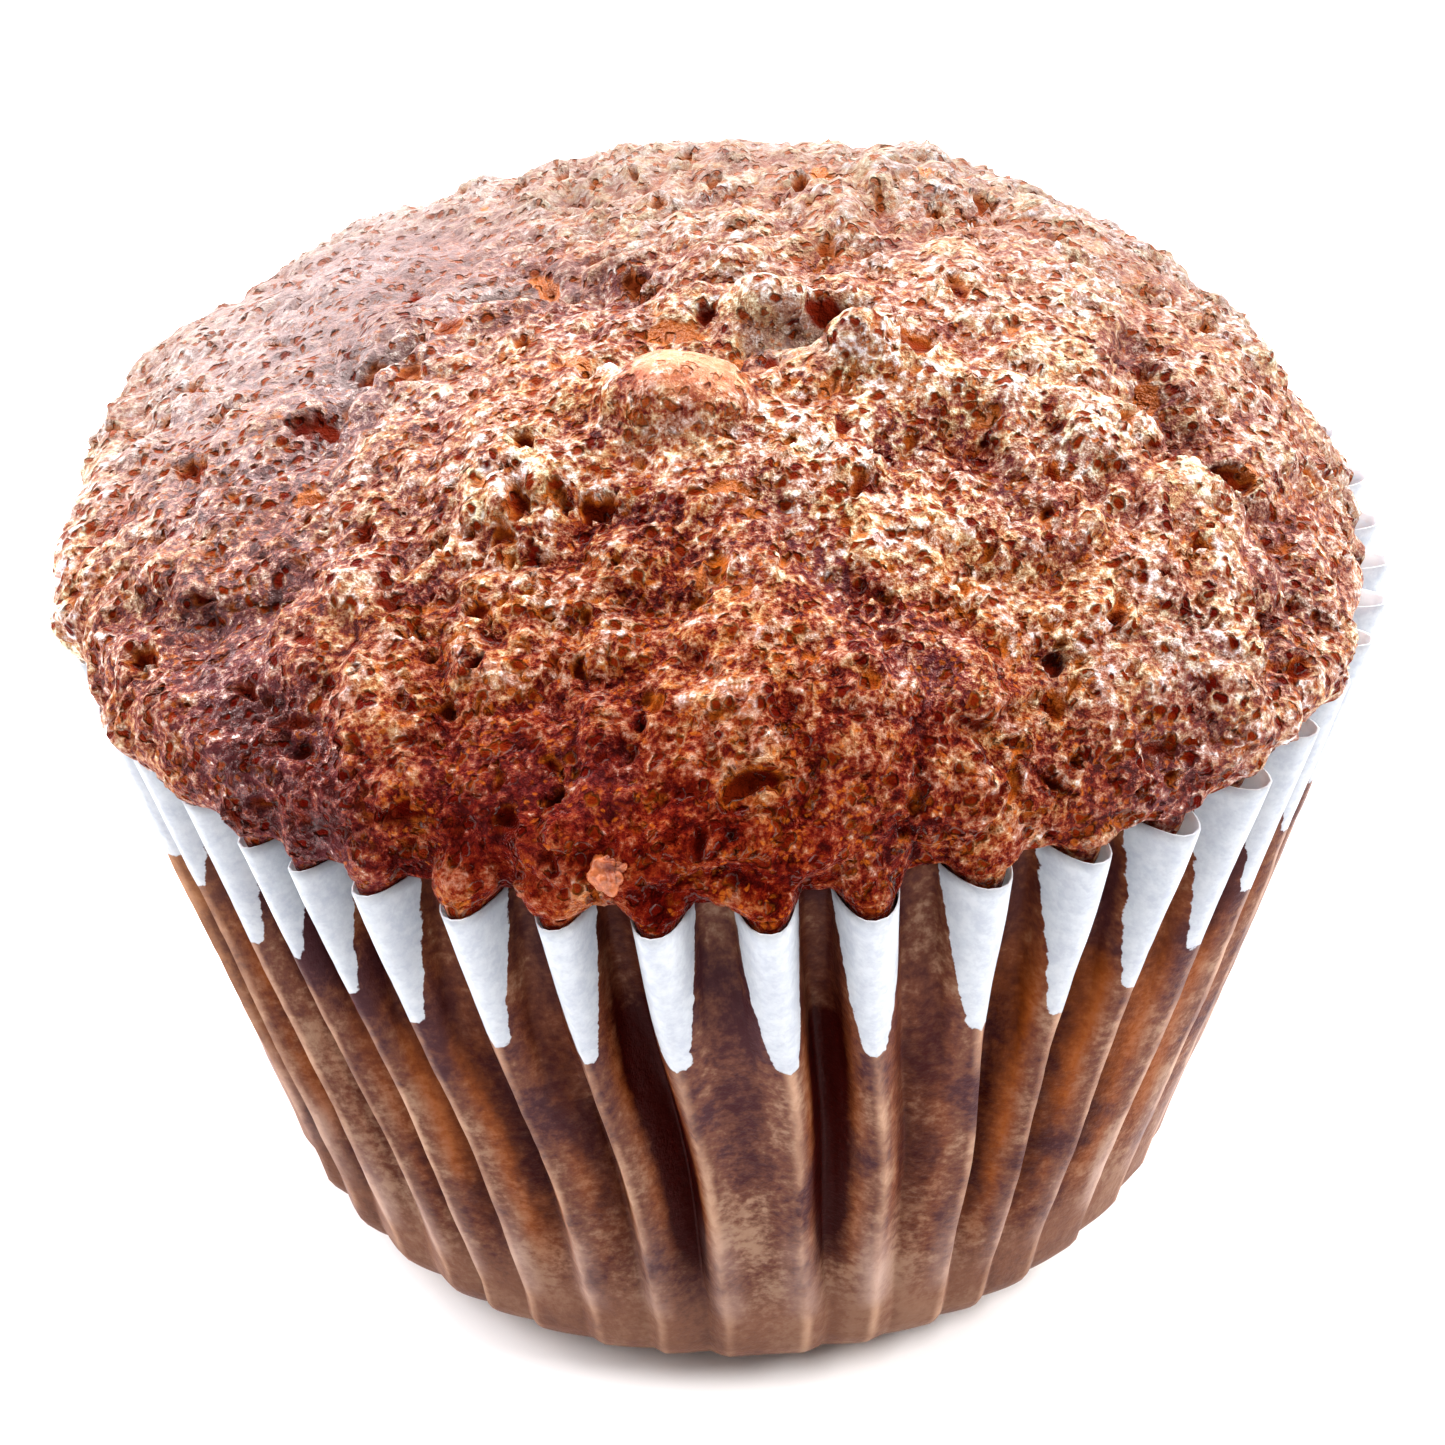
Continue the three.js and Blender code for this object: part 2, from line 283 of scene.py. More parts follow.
# where a fold stands at a rise from 0 to 1: its angle at the rim + its lean + a wobble, all in degrees
def foldPlace(number, rise):
    wobble = case["wobble"] * np.sin(7 * rise + wobblePhase[number]) * 4 * rise * (1 - rise)
    return folds[number] + (1 - rise) * foldLean(folds[number]) + wobble


# angle of a pleat place p (fold number plus the share of the way to the next) at a rise
def pleatAngle(p, rise):
    number = np.floor(p).astype(int) % case["pleats"]
    nextNumber = (number + 1) % case["pleats"]
    after = foldPlace(nextNumber, rise) + np.where(nextNumber == 0, 360, 0)
    return blend(foldPlace(number, rise), after, p - np.floor(p))


# inward share of the pleat: 0 on the outer fold, 1 on the inner fold. Near the rim the outer fold
# is a rounded U, (side / mouth)^2.5, between flat inner folds. Lower down panels lean from crease to
# crease, t^1.25 with t counted from either fold to the deepest place between them.
def pleatWave(p, rise):
    share = p - np.floor(p)
    side = np.minimum(share, 1 - share)
    mouth = np.clip(side / case["mouthShare"], 0, 1) ** case["mouthRoundness"]
    deepest = valleyPlace[np.floor(p).astype(int) % case["pleats"]]
    panel = np.where(share < deepest, share / deepest, (1 - share) / (1 - deepest))
    return blend(panel ** case["panelRoundness"], mouth, ease(*case["mouthFade"], rise))


# lengths along the paper at the rim: from an outer fold, for shares of the way to the next
def rimLengths():
    share = np.linspace(0, 1, 801)
    pitch = 2 * math.pi * case["rimRadius"] / case["pleats"]
    inward = case["depthRim"] * pleatWave(share, np.ones_like(share))
    steps = np.hypot(np.diff(share) * pitch, np.diff(inward))
    return share, np.concatenate([[0], np.cumsum(steps)])


rimShare, rimLength = rimLengths()


# a value given per pleat, eased from one fold's number to the next
def alongPleats(values, p, atValleys=False):
    q = p - 0.5 if atValleys else p
    number = np.floor(q).astype(int)
    share = ease(0, 1, q - number)
    return blend(values[number % case["pleats"]], values[(number + 1) % case["pleats"]], share)


# meridian of the wall, from the flat base round the edge and up the side:
# rows of radius, height, outward slant in radians, rise from 0 to 1 and pleat depth
def wallMeridian():
    c = case
    flatRows, arcRows, wallRows = c["flatRows"], c["arcRows"], c["wallRows"]
    flare = math.atan2(c["rimRadius"] - c["baseRadius"], c["rimHeight"] - c["baseRounding"])
    flatEdge = c["baseRadius"] - c["baseRounding"]
    flat = np.linspace(0.04, 1, flatRows, endpoint=False)
    turn = (math.pi / 2 - flare) * np.linspace(0, 1, arcRows, endpoint=False)
    rise = np.linspace(0, 1, wallRows) ** c["rowCurve"]
    still = np.zeros(flatRows)
    radius = np.concatenate([
        flatEdge * flat,
        c["baseRadius"] - c["baseRounding"] * (1 - np.sin(turn)),
        blend(c["baseRadius"], c["rimRadius"], rise),
    ])
    height = np.concatenate([
        still,
        c["baseRounding"] * (1 - np.cos(turn)),
        blend(c["baseRounding"], c["rimHeight"], rise),
    ])
    slant = np.concatenate([still, turn, np.full(wallRows, math.pi / 2 - flare)])
    rises = np.concatenate([still, 0 * turn, rise])
    depth = np.concatenate([
        still,
        c["depthBase"] * turn / (math.pi / 2 - flare),
        blend(c["depthBase"], c["depthRim"], rise ** c["depthCurve"]),
    ])
    return radius, height, slant, rises, depth


# a point of the case's skin: crest radius - depth * inward share - inset across the wall
def wallPoint(p, radius, height, slant, rise, depth, inset, standOff=0):
    fill = blend(alongPleats(valleyFill, p, True), 1, ease(*case["fillFade"], rise))
    wave = pleatWave(p, rise)
    shift = alongPleats(crestShift, p) * ease(*case["shiftFade"], rise)
    r = radius + shift - depth * fill * wave - inset * np.sin(slant) - standOff
    angle = np.radians(pleatAngle(p, rise))
    x = r * np.sin(angle)
    lift = np.where(rise > 0, 0, inset * np.cos(slant))
    z = height + lift + case["rimSlope"] * x * height / case["rimHeight"]
    return np.stack([x, -r * np.cos(angle), z], -1)


# the outer skin, an inner skin closer in by the thickness, and a strip that joins them at the rim
def buildPaperCase():
    c = case
    # columns stand evenly along the paper itself, so the steep sides of a fold get their share
    evenly = np.linspace(0, rimLength[-1], c["columnsPerPleat"], endpoint=False)
    inPleat = np.interp(evenly, rimLength, rimShare)
    around = (np.arange(c["pleats"])[:, None] + inPleat).ravel()
    radius, height, slant, rise, depth = wallMeridian()
    p, row = np.meshgrid(around, np.arange(len(radius)))
    outside = wallPoint(p, radius[row], height[row], slant[row], rise[row], depth[row], 0)
    # the inner skin needs close rows only near the rim, where it shows
    keep = np.r_[0, 3, 7, 10, 13, 22, 31, 39 : len(radius)]
    pIn, rowIn = np.meshgrid(around, keep)
    inside = wallPoint(pIn, *(v[rowIn] for v in (radius, height, slant, rise, depth)), c["thickness"])

    # crinkles of the soaked paper, strongest in the middle of the wall, none at the base's flat
    def crinkled(points, rises):
        flatPoints = points.reshape(-1, 3)
        fine = 0.7 * roughNoise(flatPoints * [1, 1, 0.6], c["crinkleSize"], 31)
        fine += 0.3 * softNoise(flatPoints, c["crinkleSize"] / 3, 37)
        amount = c["crinkle"] * ease(0, 0.12, rises.ravel()) * (1 - 0.6 * ease(0.7, 0.9, rises.ravel()))
        scale = 1 + amount * fine / np.maximum(np.hypot(flatPoints[:, 0], flatPoints[:, 1]), 1)
        flatPoints[:, :2] *= scale[:, None]
        return flatPoints

    outPoints = crinkled(outside, rise[row])
    inPoints = crinkled(inside, rise[rowIn])
    columns = len(around)
    outRings = np.arange(len(radius) * columns).reshape(len(radius), columns)
    inRings = len(outPoints) + np.arange(len(keep) * columns).reshape(len(keep), columns)
    quads = [ringQuads(outRings), ringQuads(inRings)[:, ::-1]]
    quads.append(ringQuads(np.stack([outRings[-1], inRings[-1]])))
    middles = np.array([[0, 0, 0], [0, 0, c["thickness"]]])
    points = np.concatenate([outPoints, inPoints, middles])
    lowest, highest = len(points) - 2, len(points) - 1
    after = np.roll(np.arange(columns), -1)
    fans = np.concatenate([
        np.stack([outRings[0][after], outRings[0], np.full(columns, lowest)], 1),
        np.stack([inRings[0], inRings[0][after], np.full(columns, highest)], 1),
    ])
    allRise = np.concatenate([rise[row].ravel(), rise[rowIn].ravel(), [0, 0]])
    allP = np.concatenate([p.ravel(), pIn.ravel(), [0, 0]])
    values = paperValues(allP, allRise)
    values["inner"] = np.concatenate([np.zeros(p.size), np.ones(pIn.size), [0, 1]])
    return addPiece("pleatedPaper", points, np.concatenate(quads), fans, values)


# where the paper is dry: a tongue on each outer fold that narrows downwards and ends rounded.
# tongueEdge is the distance inside its edge in millimetres along the paper, negative outside.
tongue = dict(
    halfWidthRim=3.35,
    halfWidthEnd=0.62,
    corner=0.45,
    tipDrop=0.3,
    endRise=0.735,
    endSwing=0.035,
    # how high each front tongue ends, and how far it slips sideways on its way down
    frontEnds=(
        0.77, 0.75, 0.735, 0.73, 0.715, 0.71, 0.7, 0.71, 0.71,
        0.69, 0.69, 0.68, 0.7, 0.72, 0.74, 0.74, 0.74,
    ),
    slip=(0.3, 0.3, 0.3, 0.25, 0.2, 0.0, -0.1, 0, -0.1, -0.25, -0.3, -0.3, -0.3, -0.3, -0.2, -0.2, -0.2),
)
tongueEnds = perPleat(tongue["frontEnds"], tongue["endRise"], tongue["endSwing"], 15)
tongueSlip = perPleat(tongue["slip"], 0.0, 0.25, 19)

# how dark the soaked valley after each front fold is, soaked paper with painted shade,
# and how orange the crumb behind it shows
stain = dict(
    dark=(0.5, 0.55, 0.6, 0.5, 1.3, 0.2, 1.0, 0.45, 0.6, 0.5, 0.45, 0.4, 0.35, 0.3, 0.3, 0.3, 0.3),
    amber=(0.7, 1.0, 1.0, 0.6, 1.0, 0.05, 0.8, 0.4, 1.3, 1.3, 1.0, 0.9, 0.8, 0.8, 0.8, 0.7, 0.7),
    # shares of the pleat's depth between which each begins, and rises between which both come and go
    darkDepths=(0.2, 0.75),
    amberDepths=(0.05, 0.5),
    beginning=(0.03, 0.3),
    ending=(0.62, 0.85),
    endingLoss=0.65,
)
stainDark = perPleat(stain["dark"], 0.5, 0.3, 25)
stainAmber = perPleat(stain["amber"], 0.6, 0.4, 29)


# the paper's colours at a pleat place and rise: distance inside a tongue, distance from the nearest
# fold in millimetres, and the shares of dark soaking with painted shade and of amber stain, which grow with
# the pleat's depth
def paperValues(p, rise):
    number = np.round(p).astype(int) % case["pleats"]
    share = p - np.floor(p)
    fromFold = np.interp(np.minimum(share, 1 - share), rimShare, rimLength) * np.where(share < 0.5, 1, -1)
    tall = case["rimHeight"] - case["baseRounding"]
    up = (rise - tongueEnds[number]) * tall
    t = np.clip(up / (1 - tongueEnds[number]) / tall, 0, 1)
    halfWidth = blend(tongue["halfWidthEnd"], tongue["halfWidthRim"], t)
    edge = halfWidth - np.abs(fromFold - tongueSlip[number] * (1 - t))
    tip = up + tongue["tipDrop"]
    corner = tongue["corner"]
    rounded = corner - np.hypot(np.maximum(corner - edge, 0), np.maximum(corner - tip, 0))
    pitch = 2 * math.pi * blend(case["baseRadius"], case["rimRadius"], rise) / case["pleats"]
    wave = pleatWave(p, rise)
    middle = ease(*stain["beginning"], rise) * (1 - stain["endingLoss"] * ease(*stain["ending"], rise))
    valley = np.floor(p).astype(int) % case["pleats"]
    return dict(
        tongueEdge=np.where(np.minimum(edge, tip) < corner, rounded, np.minimum(edge, tip)),
        ridge=np.minimum(share, 1 - share) * pitch,
        stainDark=stainDark[valley] * ease(*stain["darkDepths"], wave) * middle,
        stainAmber=stainAmber[valley] * ease(*stain["amberDepths"], wave) * middle,
        rise=rise,
    )


paperPiece = buildPaperCase()
print("paper case:", len(paperPiece.data.polygons), "faces")


# the cake

cake = dict(
    widestHeight=38.9,
    domeRise=11.4,
    fullness=0.85,
    lean=0.6,
    radius=31.6,
    back=1.8,
    oval=1.75,
    skew=2.05,
    tuck=0.9,
    ledgeRise=0.45,
    swells=((-60, 32, 4.4), (-33, 13, 1.3), (17, 15, -2.0)),
    paperFree=(64, 34, 1.2),
    toothGap=0.28,
    paperGap=0.2,
    innerGap=0.5,
    tuckDrop=0.06,
    bodyRises=(0.91, 0.87, 0.82, 0.76, 0.69, 0.6, 0.45, 0.25, 0.0),
    bottomShare=0.86,
    waveCount=9,
    waveHeight=0.12,
    waveLengths=(8, 17),
    # the grid: columns, how much closer they stand in front, and where the dome and the lip end
    gridSide=288,
    frontCrowding=0.15,
    domeEnd=0.875,
    lipEnd=0.965,
    # crumb lumps of four sizes and their heights
    lumpSizes=(5.2, 2.6, 1.4, 0.75),
    lumpHeights=(0.5, 0.28, 0.24, 0.14),
    # pits of three sizes: spacing, seed, share, least and greatest radius
    pits=((2.6, 41, 0.34, 0.4, 0.85), (1.5, 43, 0.55, 0.25, 0.6), (0.85, 47, 0.9, 0.18, 0.36)),
    # a smooth place: x, y, half widths, strength
    blister=(-2.0, -11.9, 2.9, 2.3, 1.0),
    # the painted shade on the lower front: angle, half width in degrees, strength,
    # and the rings between which it begins
    shadedFront=(-9, 44, 1),
    shadedRings=(0.38, 0.94),
    # depth of a dark and of an amber hole: share of its radius, and what is added
    holeDepths=((0.75, 0.08), (0.5, 0.05)),
    # holes face away from a point this far under the widest line
    holeFocus=14,
)
# crags as in the solid: x, y, half widths along x and y, height
bumps = (
    (-2.0, -11.8, 3.2, 2.7, 1.5),
    (1.7, -4.9, 2.2, 1.5, 0.8),
    (5.7, -8.2, 2.0, 1.7, 0.9),
    (-8.7, -11.1, 7.5, 6.0, 0.9),
    (10.1, -24.8, 2.4, 1.6, 0.7),
    (3.4, -26.1, 4.6, 2.8, 0.7),
    (-21.6, -23.0, 4.5, 4.0, 0.8),
    (-22.4, -3.9, 6.5, 7.0, 0.8),
    (15.4, -3.7, 8.0, 6.0, 0.7),
    (3.5, 12.0, 9.0, 6.0, 0.8),
    (-30.0, 11.0, 5.0, 5.0, 0.8),
    (-2.0, 20.0, 6.0, 5.0, 0.6),
    (9.5, 24.0, 5.0, 5.0, 0.5),
    (0.1, -24.8, 2.2, 1.8, 0.6),
    (20.7, -22.7, 2.2, 2.0, 0.6),
    (-16.1, -18.6, 2.2, 2.0, 0.5),
    (3.5, -6.4, 1.9, 1.3, -1.0),
    (-1.2, -5.5, 1.4, 1.1, -0.5),
    (13.7, -23.7, 1.0, 0.9, -0.8),
    (-18.1, -24.6, 2.0, 1.8, -0.6),
    (19.6, -9.3, 2.2, 2.0, -0.7),
    (-24.0, 21.0, 4.0, 4.0, -0.5),
    (28.4, 3.5, 3.0, 3.0, -0.6),
)
# cracks between the lobes: path in plan, half width, depth
cracks = (
    (((-4.5, -1.0), (-9.5, 2.2), (-13.6, -0.1), (-17.2, -3.8), (-19.3, -8.3)), 1.7, 1.4),
    (((-26.6, -15.4), (-23.1, -17.9), (-18.9, -17.3)), 1.3, 1.1),
    (((-20.8, -19.3), (-19.8, -22.7), (-18.2, -26.9)), 1.5, 0.9),
    (((18.9, -4.7), (19.3, -8.8), (21.7, -11.3), (24.4, -12.8), (25.1, -16.6), (23.2, -19.3)), 1.2, 1.0),
    (((7.1, -14.5), (10.6, -12.6), (12.6, -16.6)), 1.2, 0.8),
    (((19.5, -21.4), (19.6, -24.0), (18.4, -25.7)), 1.1, 0.8),
    (((1.7, -17.5), (2.9, -20.5), (7.3, -24.0)), 1.0, 0.6),
    (((13.7, -12.8), (15.7, -14.7), (17.3, -16.3)), 1.0, 0.6),
)
# narrower creases and ridges: path in plan, half width, depth (less than 0 for a ridge)
creases = (
    (((-5.6, -8.9), (-2.6, -8.4), (0.4, -9.2)), 0.6, 0.9),
    (((1.0, -7.2), (3.2, -5.9), (6.0, -4.6)), 0.7, 1.0),
    (((-11.0, 1.4), (-13.6, -0.1), (-15.7, -2.3), (-18.7, -5.4)), 0.6, 0.7),
    (((-9.5, -1.5), (-13.0, -2.6), (-14.8, -5.4), (-17.4, -7.6)), 1.0, -0.6),
    (((-13.5, -17.5), (-15.8, -20.0), (-17.0, -23.0)), 0.6, 0.5),
    (((-5.5, -21.5), (-3.0, -22.5), (-1.0, -21.5)), 0.6, 0.5),
    (((10.0, -19.5), (12.5, -20.5), (14.5, -19.5)), 0.6, 0.5),
    (((17.0, 2.0), (20.0, 0.5), (23.5, 1.5)), 0.7, 0.5),
    (((-16.0, 6.0), (-12.0, 9.0), (-7.0, 8.0)), 0.8, 0.5),
    (((9.0, -26.2), (11.0, -26.6), (12.4, -25.6)), 0.5, 0.6),
)
# places of painted light and shade on the crust: x, y, half widths, change of tone
paintedLightAndShadePlaces = (
    (14.5, -12.5, 9.0, 9.0, 0.18),
    (20.0, -12.0, 8.0, 12.0, 0.08),
    (-14.4, -18.0, 3.0, 3.5, 0.10),
    (-21.0, -13.0, 6.0, 5.0, -0.10),
    (-14.0, -24.0, 3.2, 3.0, 0.14),
    (-21.5, -21.0, 4.5, 5.0, -0.10),
    (-18.0, 6.0, 9.0, 9.0, -0.32),
    (-7.5, 3.0, 4.0, 4.0, 0.08),
    (5.0, 3.0, 5.0, 4.0, -0.06),
    (-24.0, -5.0, 6.0, 7.0, -0.12),
    (-31.5, -7.0, 4.5, 10.0, 0.24),
    (-20.0, 14.0, 8.0, 5.0, -0.16),
    (-1.5, -18.8, 3.0, 3.2, -0.13),
    (0.1, -24.8, 2.4, 2.0, 0.12),
    (20.0, -21.5, 4.5, 4.0, 0.20),
    (9.0, -23.0, 3.0, 2.5, 0.08),
)
# places with a greyish film of moisture, its grey a painted reflection: x, y, half widths, strength
wetPlaces = (
    (3.0, -7.2, 2.2, 1.8, 1.0),
    (-11.5, 2.4, 3.2, 1.6, 1.0),
    (-16.6, -3.4, 1.6, 2.2, 1.0),
)
# knobs on top of the crags: x, y, half widths, height
knobs = (
    (-2.0, -11.7, 3.0, 2.2, 1.3),
    (1.8, -4.9, 1.5, 0.9, 0.5),
    (5.8, -8.5, 1.2, 0.9, 0.6),
)
# open holes in the crust: share of the way out (over 1 on the lip), angle, radius, length to width,
# tilt, and 1 where amber crumb fills it or 0 where it is dark
holes = (
    (0.69, -134, 0.50, 2.5, 50, 1),
    (0.63, -101, 0.55, 2.5, 25, 0),
    (0.52, -94, 0.65, 2.5, 45, 0),
    (0.48, -103, 0.65, 2.5, 35, 1),
    (0.32, -84, 0.40, 2.0, 0, 1),
    (0.46, -57, 0.55, 2.5, 30, 1),
    (0.46, -51, 0.55, 1.5, -20, 0),
    (0.33, -55, 0.70, 2.5, 35, 1),
    (0.28, -55, 0.60, 1.5, -25, 0),
    (0.17, -26, 0.80, 1.5, 20, 0),
    (0.30, -28, 0.55, 1.0, -35, 0),
    (0.31, -36, 0.45, 1.0, 0, 1),
    (0.43, -4, 0.50, 1.5, -90, 0),
    (0.35, -9, 0.60, 1.0, 0, 1),
    (0.42, 25, 0.45, 2.0, -10, 1),
    (0.47, 36, 0.50, 1.5, -5, 0),
    (0.27, 46, 0.45, 1.5, -5, 1),
    (0.35, 100, 0.45, 2.5, -35, 0),
    (0.34, 162, 0.60, 2.0, -75, 1),
    (0.29, -170, 0.60, 2.0, 80, 1),
    (0.51, 61, 0.70, 2.5, 20, 1),
    (0.58, 56, 0.50, 1.5, 0, 0),
    (0.72, 62, 0.50, 1.5, 10, 1),
    (0.59, 37, 0.35, 2.0, -15, 0),
    (0.91, 55, 0.40, 2.5, -25, 0),
    (0.62, -36, 0.45, 1.0, -20, 1),
    (0.65, -44, 0.40, 1.5, 5, 1),
    (0.76, -51, 0.70, 1.5, -10, 0),
    (0.72, -43, 0.35, 2.0, -50, 0),
    (0.77, -61, 0.70, 1.5, -5, 1),
    (0.83, -69, 0.35, 2.5, 25, 0),
    (0.73, -74, 0.60, 2.5, 10, 0),
    (0.88, -44, 0.45, 2.5, 20, 0),
    (0.81, -41, 0.45, 2.0, 20, 0),
    (0.95, -21, 0.30, 1.0, 15, 0),
    (0.88, -14, 0.35, 2.5, 10, 0),
    (0.64, -22, 0.40, 1.0, -40, 0),
    (0.57, -16, 0.55, 2.5, 10, 1),
    (0.60, -12, 0.40, 1.5, 0, 1),
    (1.33, -15, 0.40, 2.0, 10, 0),
    (0.84, 26, 0.60, 1.0, -10, 0),
    (0.90, 18, 0.40, 1.5, -10, 0),
    (0.79, 32, 0.35, 1.5, -15, 0),
    (0.97, 35, 0.40, 2.5, -20, 0),
    (0.93, 8, 0.25, 2.5, -5, 0),
    (0.80, 0, 0.30, 2.5, -90, 0),
    (0.54, -31, 0.35, 1.5, 0, 1),
    (0.84, -34, 0.40, 1.0, 10, 0),
    (0.96, -39, 0.45, 2.5, 20, 0),
    (0.98, -37, 0.45, 1.0, 70, 0),
    (1.00, -40, 0.25, 2.5, 25, 0),
    (1.00, -43, 0.25, 1.5, 25, 0),
    (1.10, -21, 0.35, 1.0, 35, 0),
    (0.70, 22, 0.35, 1.5, -5, 1),
    (0.71, -8, 0.40, 1.5, -85, 1),
    (0.69, -14, 0.35, 2.5, -80, 1),
)


# radius of the widest line: radius - back * cos + oval * cos(2a) + skew * sin(2a) + swells
def widestRadius(angle):
    turn = np.radians(angle)
    radius = cake["radius"] - cake["back"] * np.cos(turn)
    radius = radius + cake["oval"] * np.cos(2 * turn) + cake["skew"] * np.sin(2 * turn)
    return radius + sum(swell(angle, *one) for one in cake["swells"])


# pleat place of an angle at the rim
def placeAtRim(angle):
    wrapped = (angle - folds[0]) % 360 + folds[0]
    return np.interp(wrapped, np.append(folds, folds[0] + 360), np.arange(len(folds) + 1))


# the dome above its widest line: radius * share, and rise * (1 - share^2)^fullness
def domePoint(share, angle):
    rise = cake["domeRise"] * (1 - share**2) ** cake["fullness"]
    radius = share * widestRadius(angle)
    turn = np.radians(angle)
    x = radius * np.sin(turn) + cake["lean"] * rise
    return np.stack([x, -radius * np.cos(turn), cake["widestHeight"] + rise], -1)


# the lip under the widest line, tucked in by a quarter of a cosine, with a tooth in each outer fold
def lipPoint(share, angle):
    p = placeAtRim(angle)
    widest = widestRadius(angle)
    turn = np.radians(angle)
    tucked = widest - cake["tuck"]
    free = swell(angle, *cake["paperFree"])
    paperInside = case["rimRadius"] + alongPleats(crestShift, p) - case["thickness"]
    reach = np.clip(paperInside - cake["toothGap"] - free - tucked, 0, 2.0)
    reach *= 1 - pleatWave(p, np.ones_like(p))
    radius = blend(widest, tucked, 1 - np.cos(share * np.pi / 2)) + reach * ease(0, 1, share)
    x = radius * np.sin(turn)
    edge = case["rimHeight"] + case["rimSlope"] * x + cake["ledgeRise"]
    z = blend(cake["widestHeight"], edge, np.sin(share * np.pi / 2))
    return np.stack([x, -radius * np.cos(turn), z], -1)


# a point of the cake inside the paper at a rise, with a gap that opens below the rim
def bodyPoint(p, rise):
    radius = blend(case["baseRadius"], case["rimRadius"], rise)
    height = blend(case["baseRounding"], case["rimHeight"], rise)
    depth = blend(case["depthBase"], case["depthRim"], rise ** case["depthCurve"])
    tall = case["rimHeight"] - case["baseRounding"]
    slant = np.full_like(p, math.atan2(tall, case["rimRadius"] - case["baseRadius"]))
    gap = blend(cake["innerGap"], cake["paperGap"], ease(0.94, 1, rise))
    free = swell(pleatAngle(p, rise), *cake["paperFree"]) * ease(0.5, 1, rise)
    return wallPoint(p, radius, height, slant, rise, depth, case["thickness"] + gap, free)


# below the lip's edge: inwards over the inner folds, then down inside the paper
def tuckPoint(share, angle):
    p = placeAtRim(angle)
    rise = 1 - cake["tuckDrop"] * ease(0.35, 1, share)
    edge = lipPoint(np.ones_like(angle), angle)
    point = blend(edge, bodyPoint(p, rise), ease(0, 0.4, share)[..., None])
    lift = blend(cake["ledgeRise"], 0, ease(0, 0.7, share))
    height = blend(case["baseRounding"], case["rimHeight"], rise)
    point[..., 2] = height * (1 + case["rimSlope"] * point[..., 0] / case["rimHeight"]) + lift
    return point


# gentle waves added up: height * sin(2 pi * (distance along a direction / length + phase))
def waveRelief(points):
    row = seededRow(7, cake["waveCount"] * 5).reshape(-1, 5)
    direction = row[:, :3] - 0.5
    direction /= np.linalg.norm(direction, axis=1)[:, None]
    lengths = blend(*cake["waveLengths"], row[:, 3])
    turns = points @ (direction * (2 * math.pi / lengths)[:, None]).T + 2 * math.pi * row[:, 4]
    return cake["waveHeight"] * np.sin(turns).sum(1)


# the large crags: waves, bumps and cracks, as the solid has them
def largeRelief(points):
    x, y = points[:, 0], points[:, 1]
    return waveRelief(points) + mounds(x, y, bumps) - grooves(x, y, cracks)


# depth of the narrow creases, which wander a little
def creaseDepth(points):
    moved = stirred(points, 1.8, 0.45, 111)
    return grooves(moved[:, 0], moved[:, 1], creases)


# how much a point lies in a crack: exp(-(distance / (2 * half width))^2) of the nearest
def cleftShare(points):
    away = [pathDistance(points[:, 0], points[:, 1], path) / width / 2 for path, width, _ in cracks]
    return np.exp(-(np.min(away, axis=0) ** 2))


# round knobs standing on the crust: height * sqrt(1 - distance^2), each an ellipse in plan
def knobRelief(points):
    height = np.zeros(len(points))
    stir = stirred(points, 2.2, 0.3, 101)
    for x, y, wide, deep, tall in knobs:
        away = ((stir[:, 0] - x) / wide) ** 2 + ((stir[:, 1] - y) / deep) ** 2
        height = np.maximum(height, tall * np.sqrt(np.clip(1 - away, 0, 1)))
    return height


# square to disc: rings of the square become circles, so a square grid covers the crust evenly
def discGrid(side, crowding):
    line = np.linspace(-1, 1, side)
    u, v = np.meshgrid(line, line + crowding * (line**2 - 1))
    wide = np.abs(u) > np.abs(v)
    safeU = np.where(wide, u, 1)
    safeV = np.where(wide | (v == 0), 1, v)
    ring = np.where(wide, u, v)
    turn = np.where(wide, math.pi / 4 * v / safeU, math.pi / 2 - math.pi / 4 * u / safeV)
    turn = np.where(ring == 0, 0, turn)
    x, y = ring * np.cos(turn), ring * np.sin(turn)
    return np.abs(ring), np.degrees(np.arctan2(x, -y))


# share along the crust's meridian from a number between 0 and 1, in even steps of arc length,
# measured on the profile at 20 degrees
def evenShares(along):
    share = np.linspace(0, 1, 400)
    profile = domePoint(share, np.full_like(share, 20.0))
    steps = np.linalg.norm(np.diff(profile, axis=0), axis=1)
    lengths = np.concatenate([[0], np.cumsum(steps)])
    return np.interp(along, lengths / lengths[-1], share)


# normals of a square grid: the cross product of the steps across and up, made one long
def gridNormals(points, side):
    grid = points.reshape(side, side, 3)
    across = np.gradient(grid, axis=1)
    upward = np.gradient(grid, axis=0)
    normal = np.cross(across, upward)
    length = np.linalg.norm(normal, axis=-1, keepdims=True)
    return (normal / np.maximum(length, 1e-9)).reshape(-1, 3)


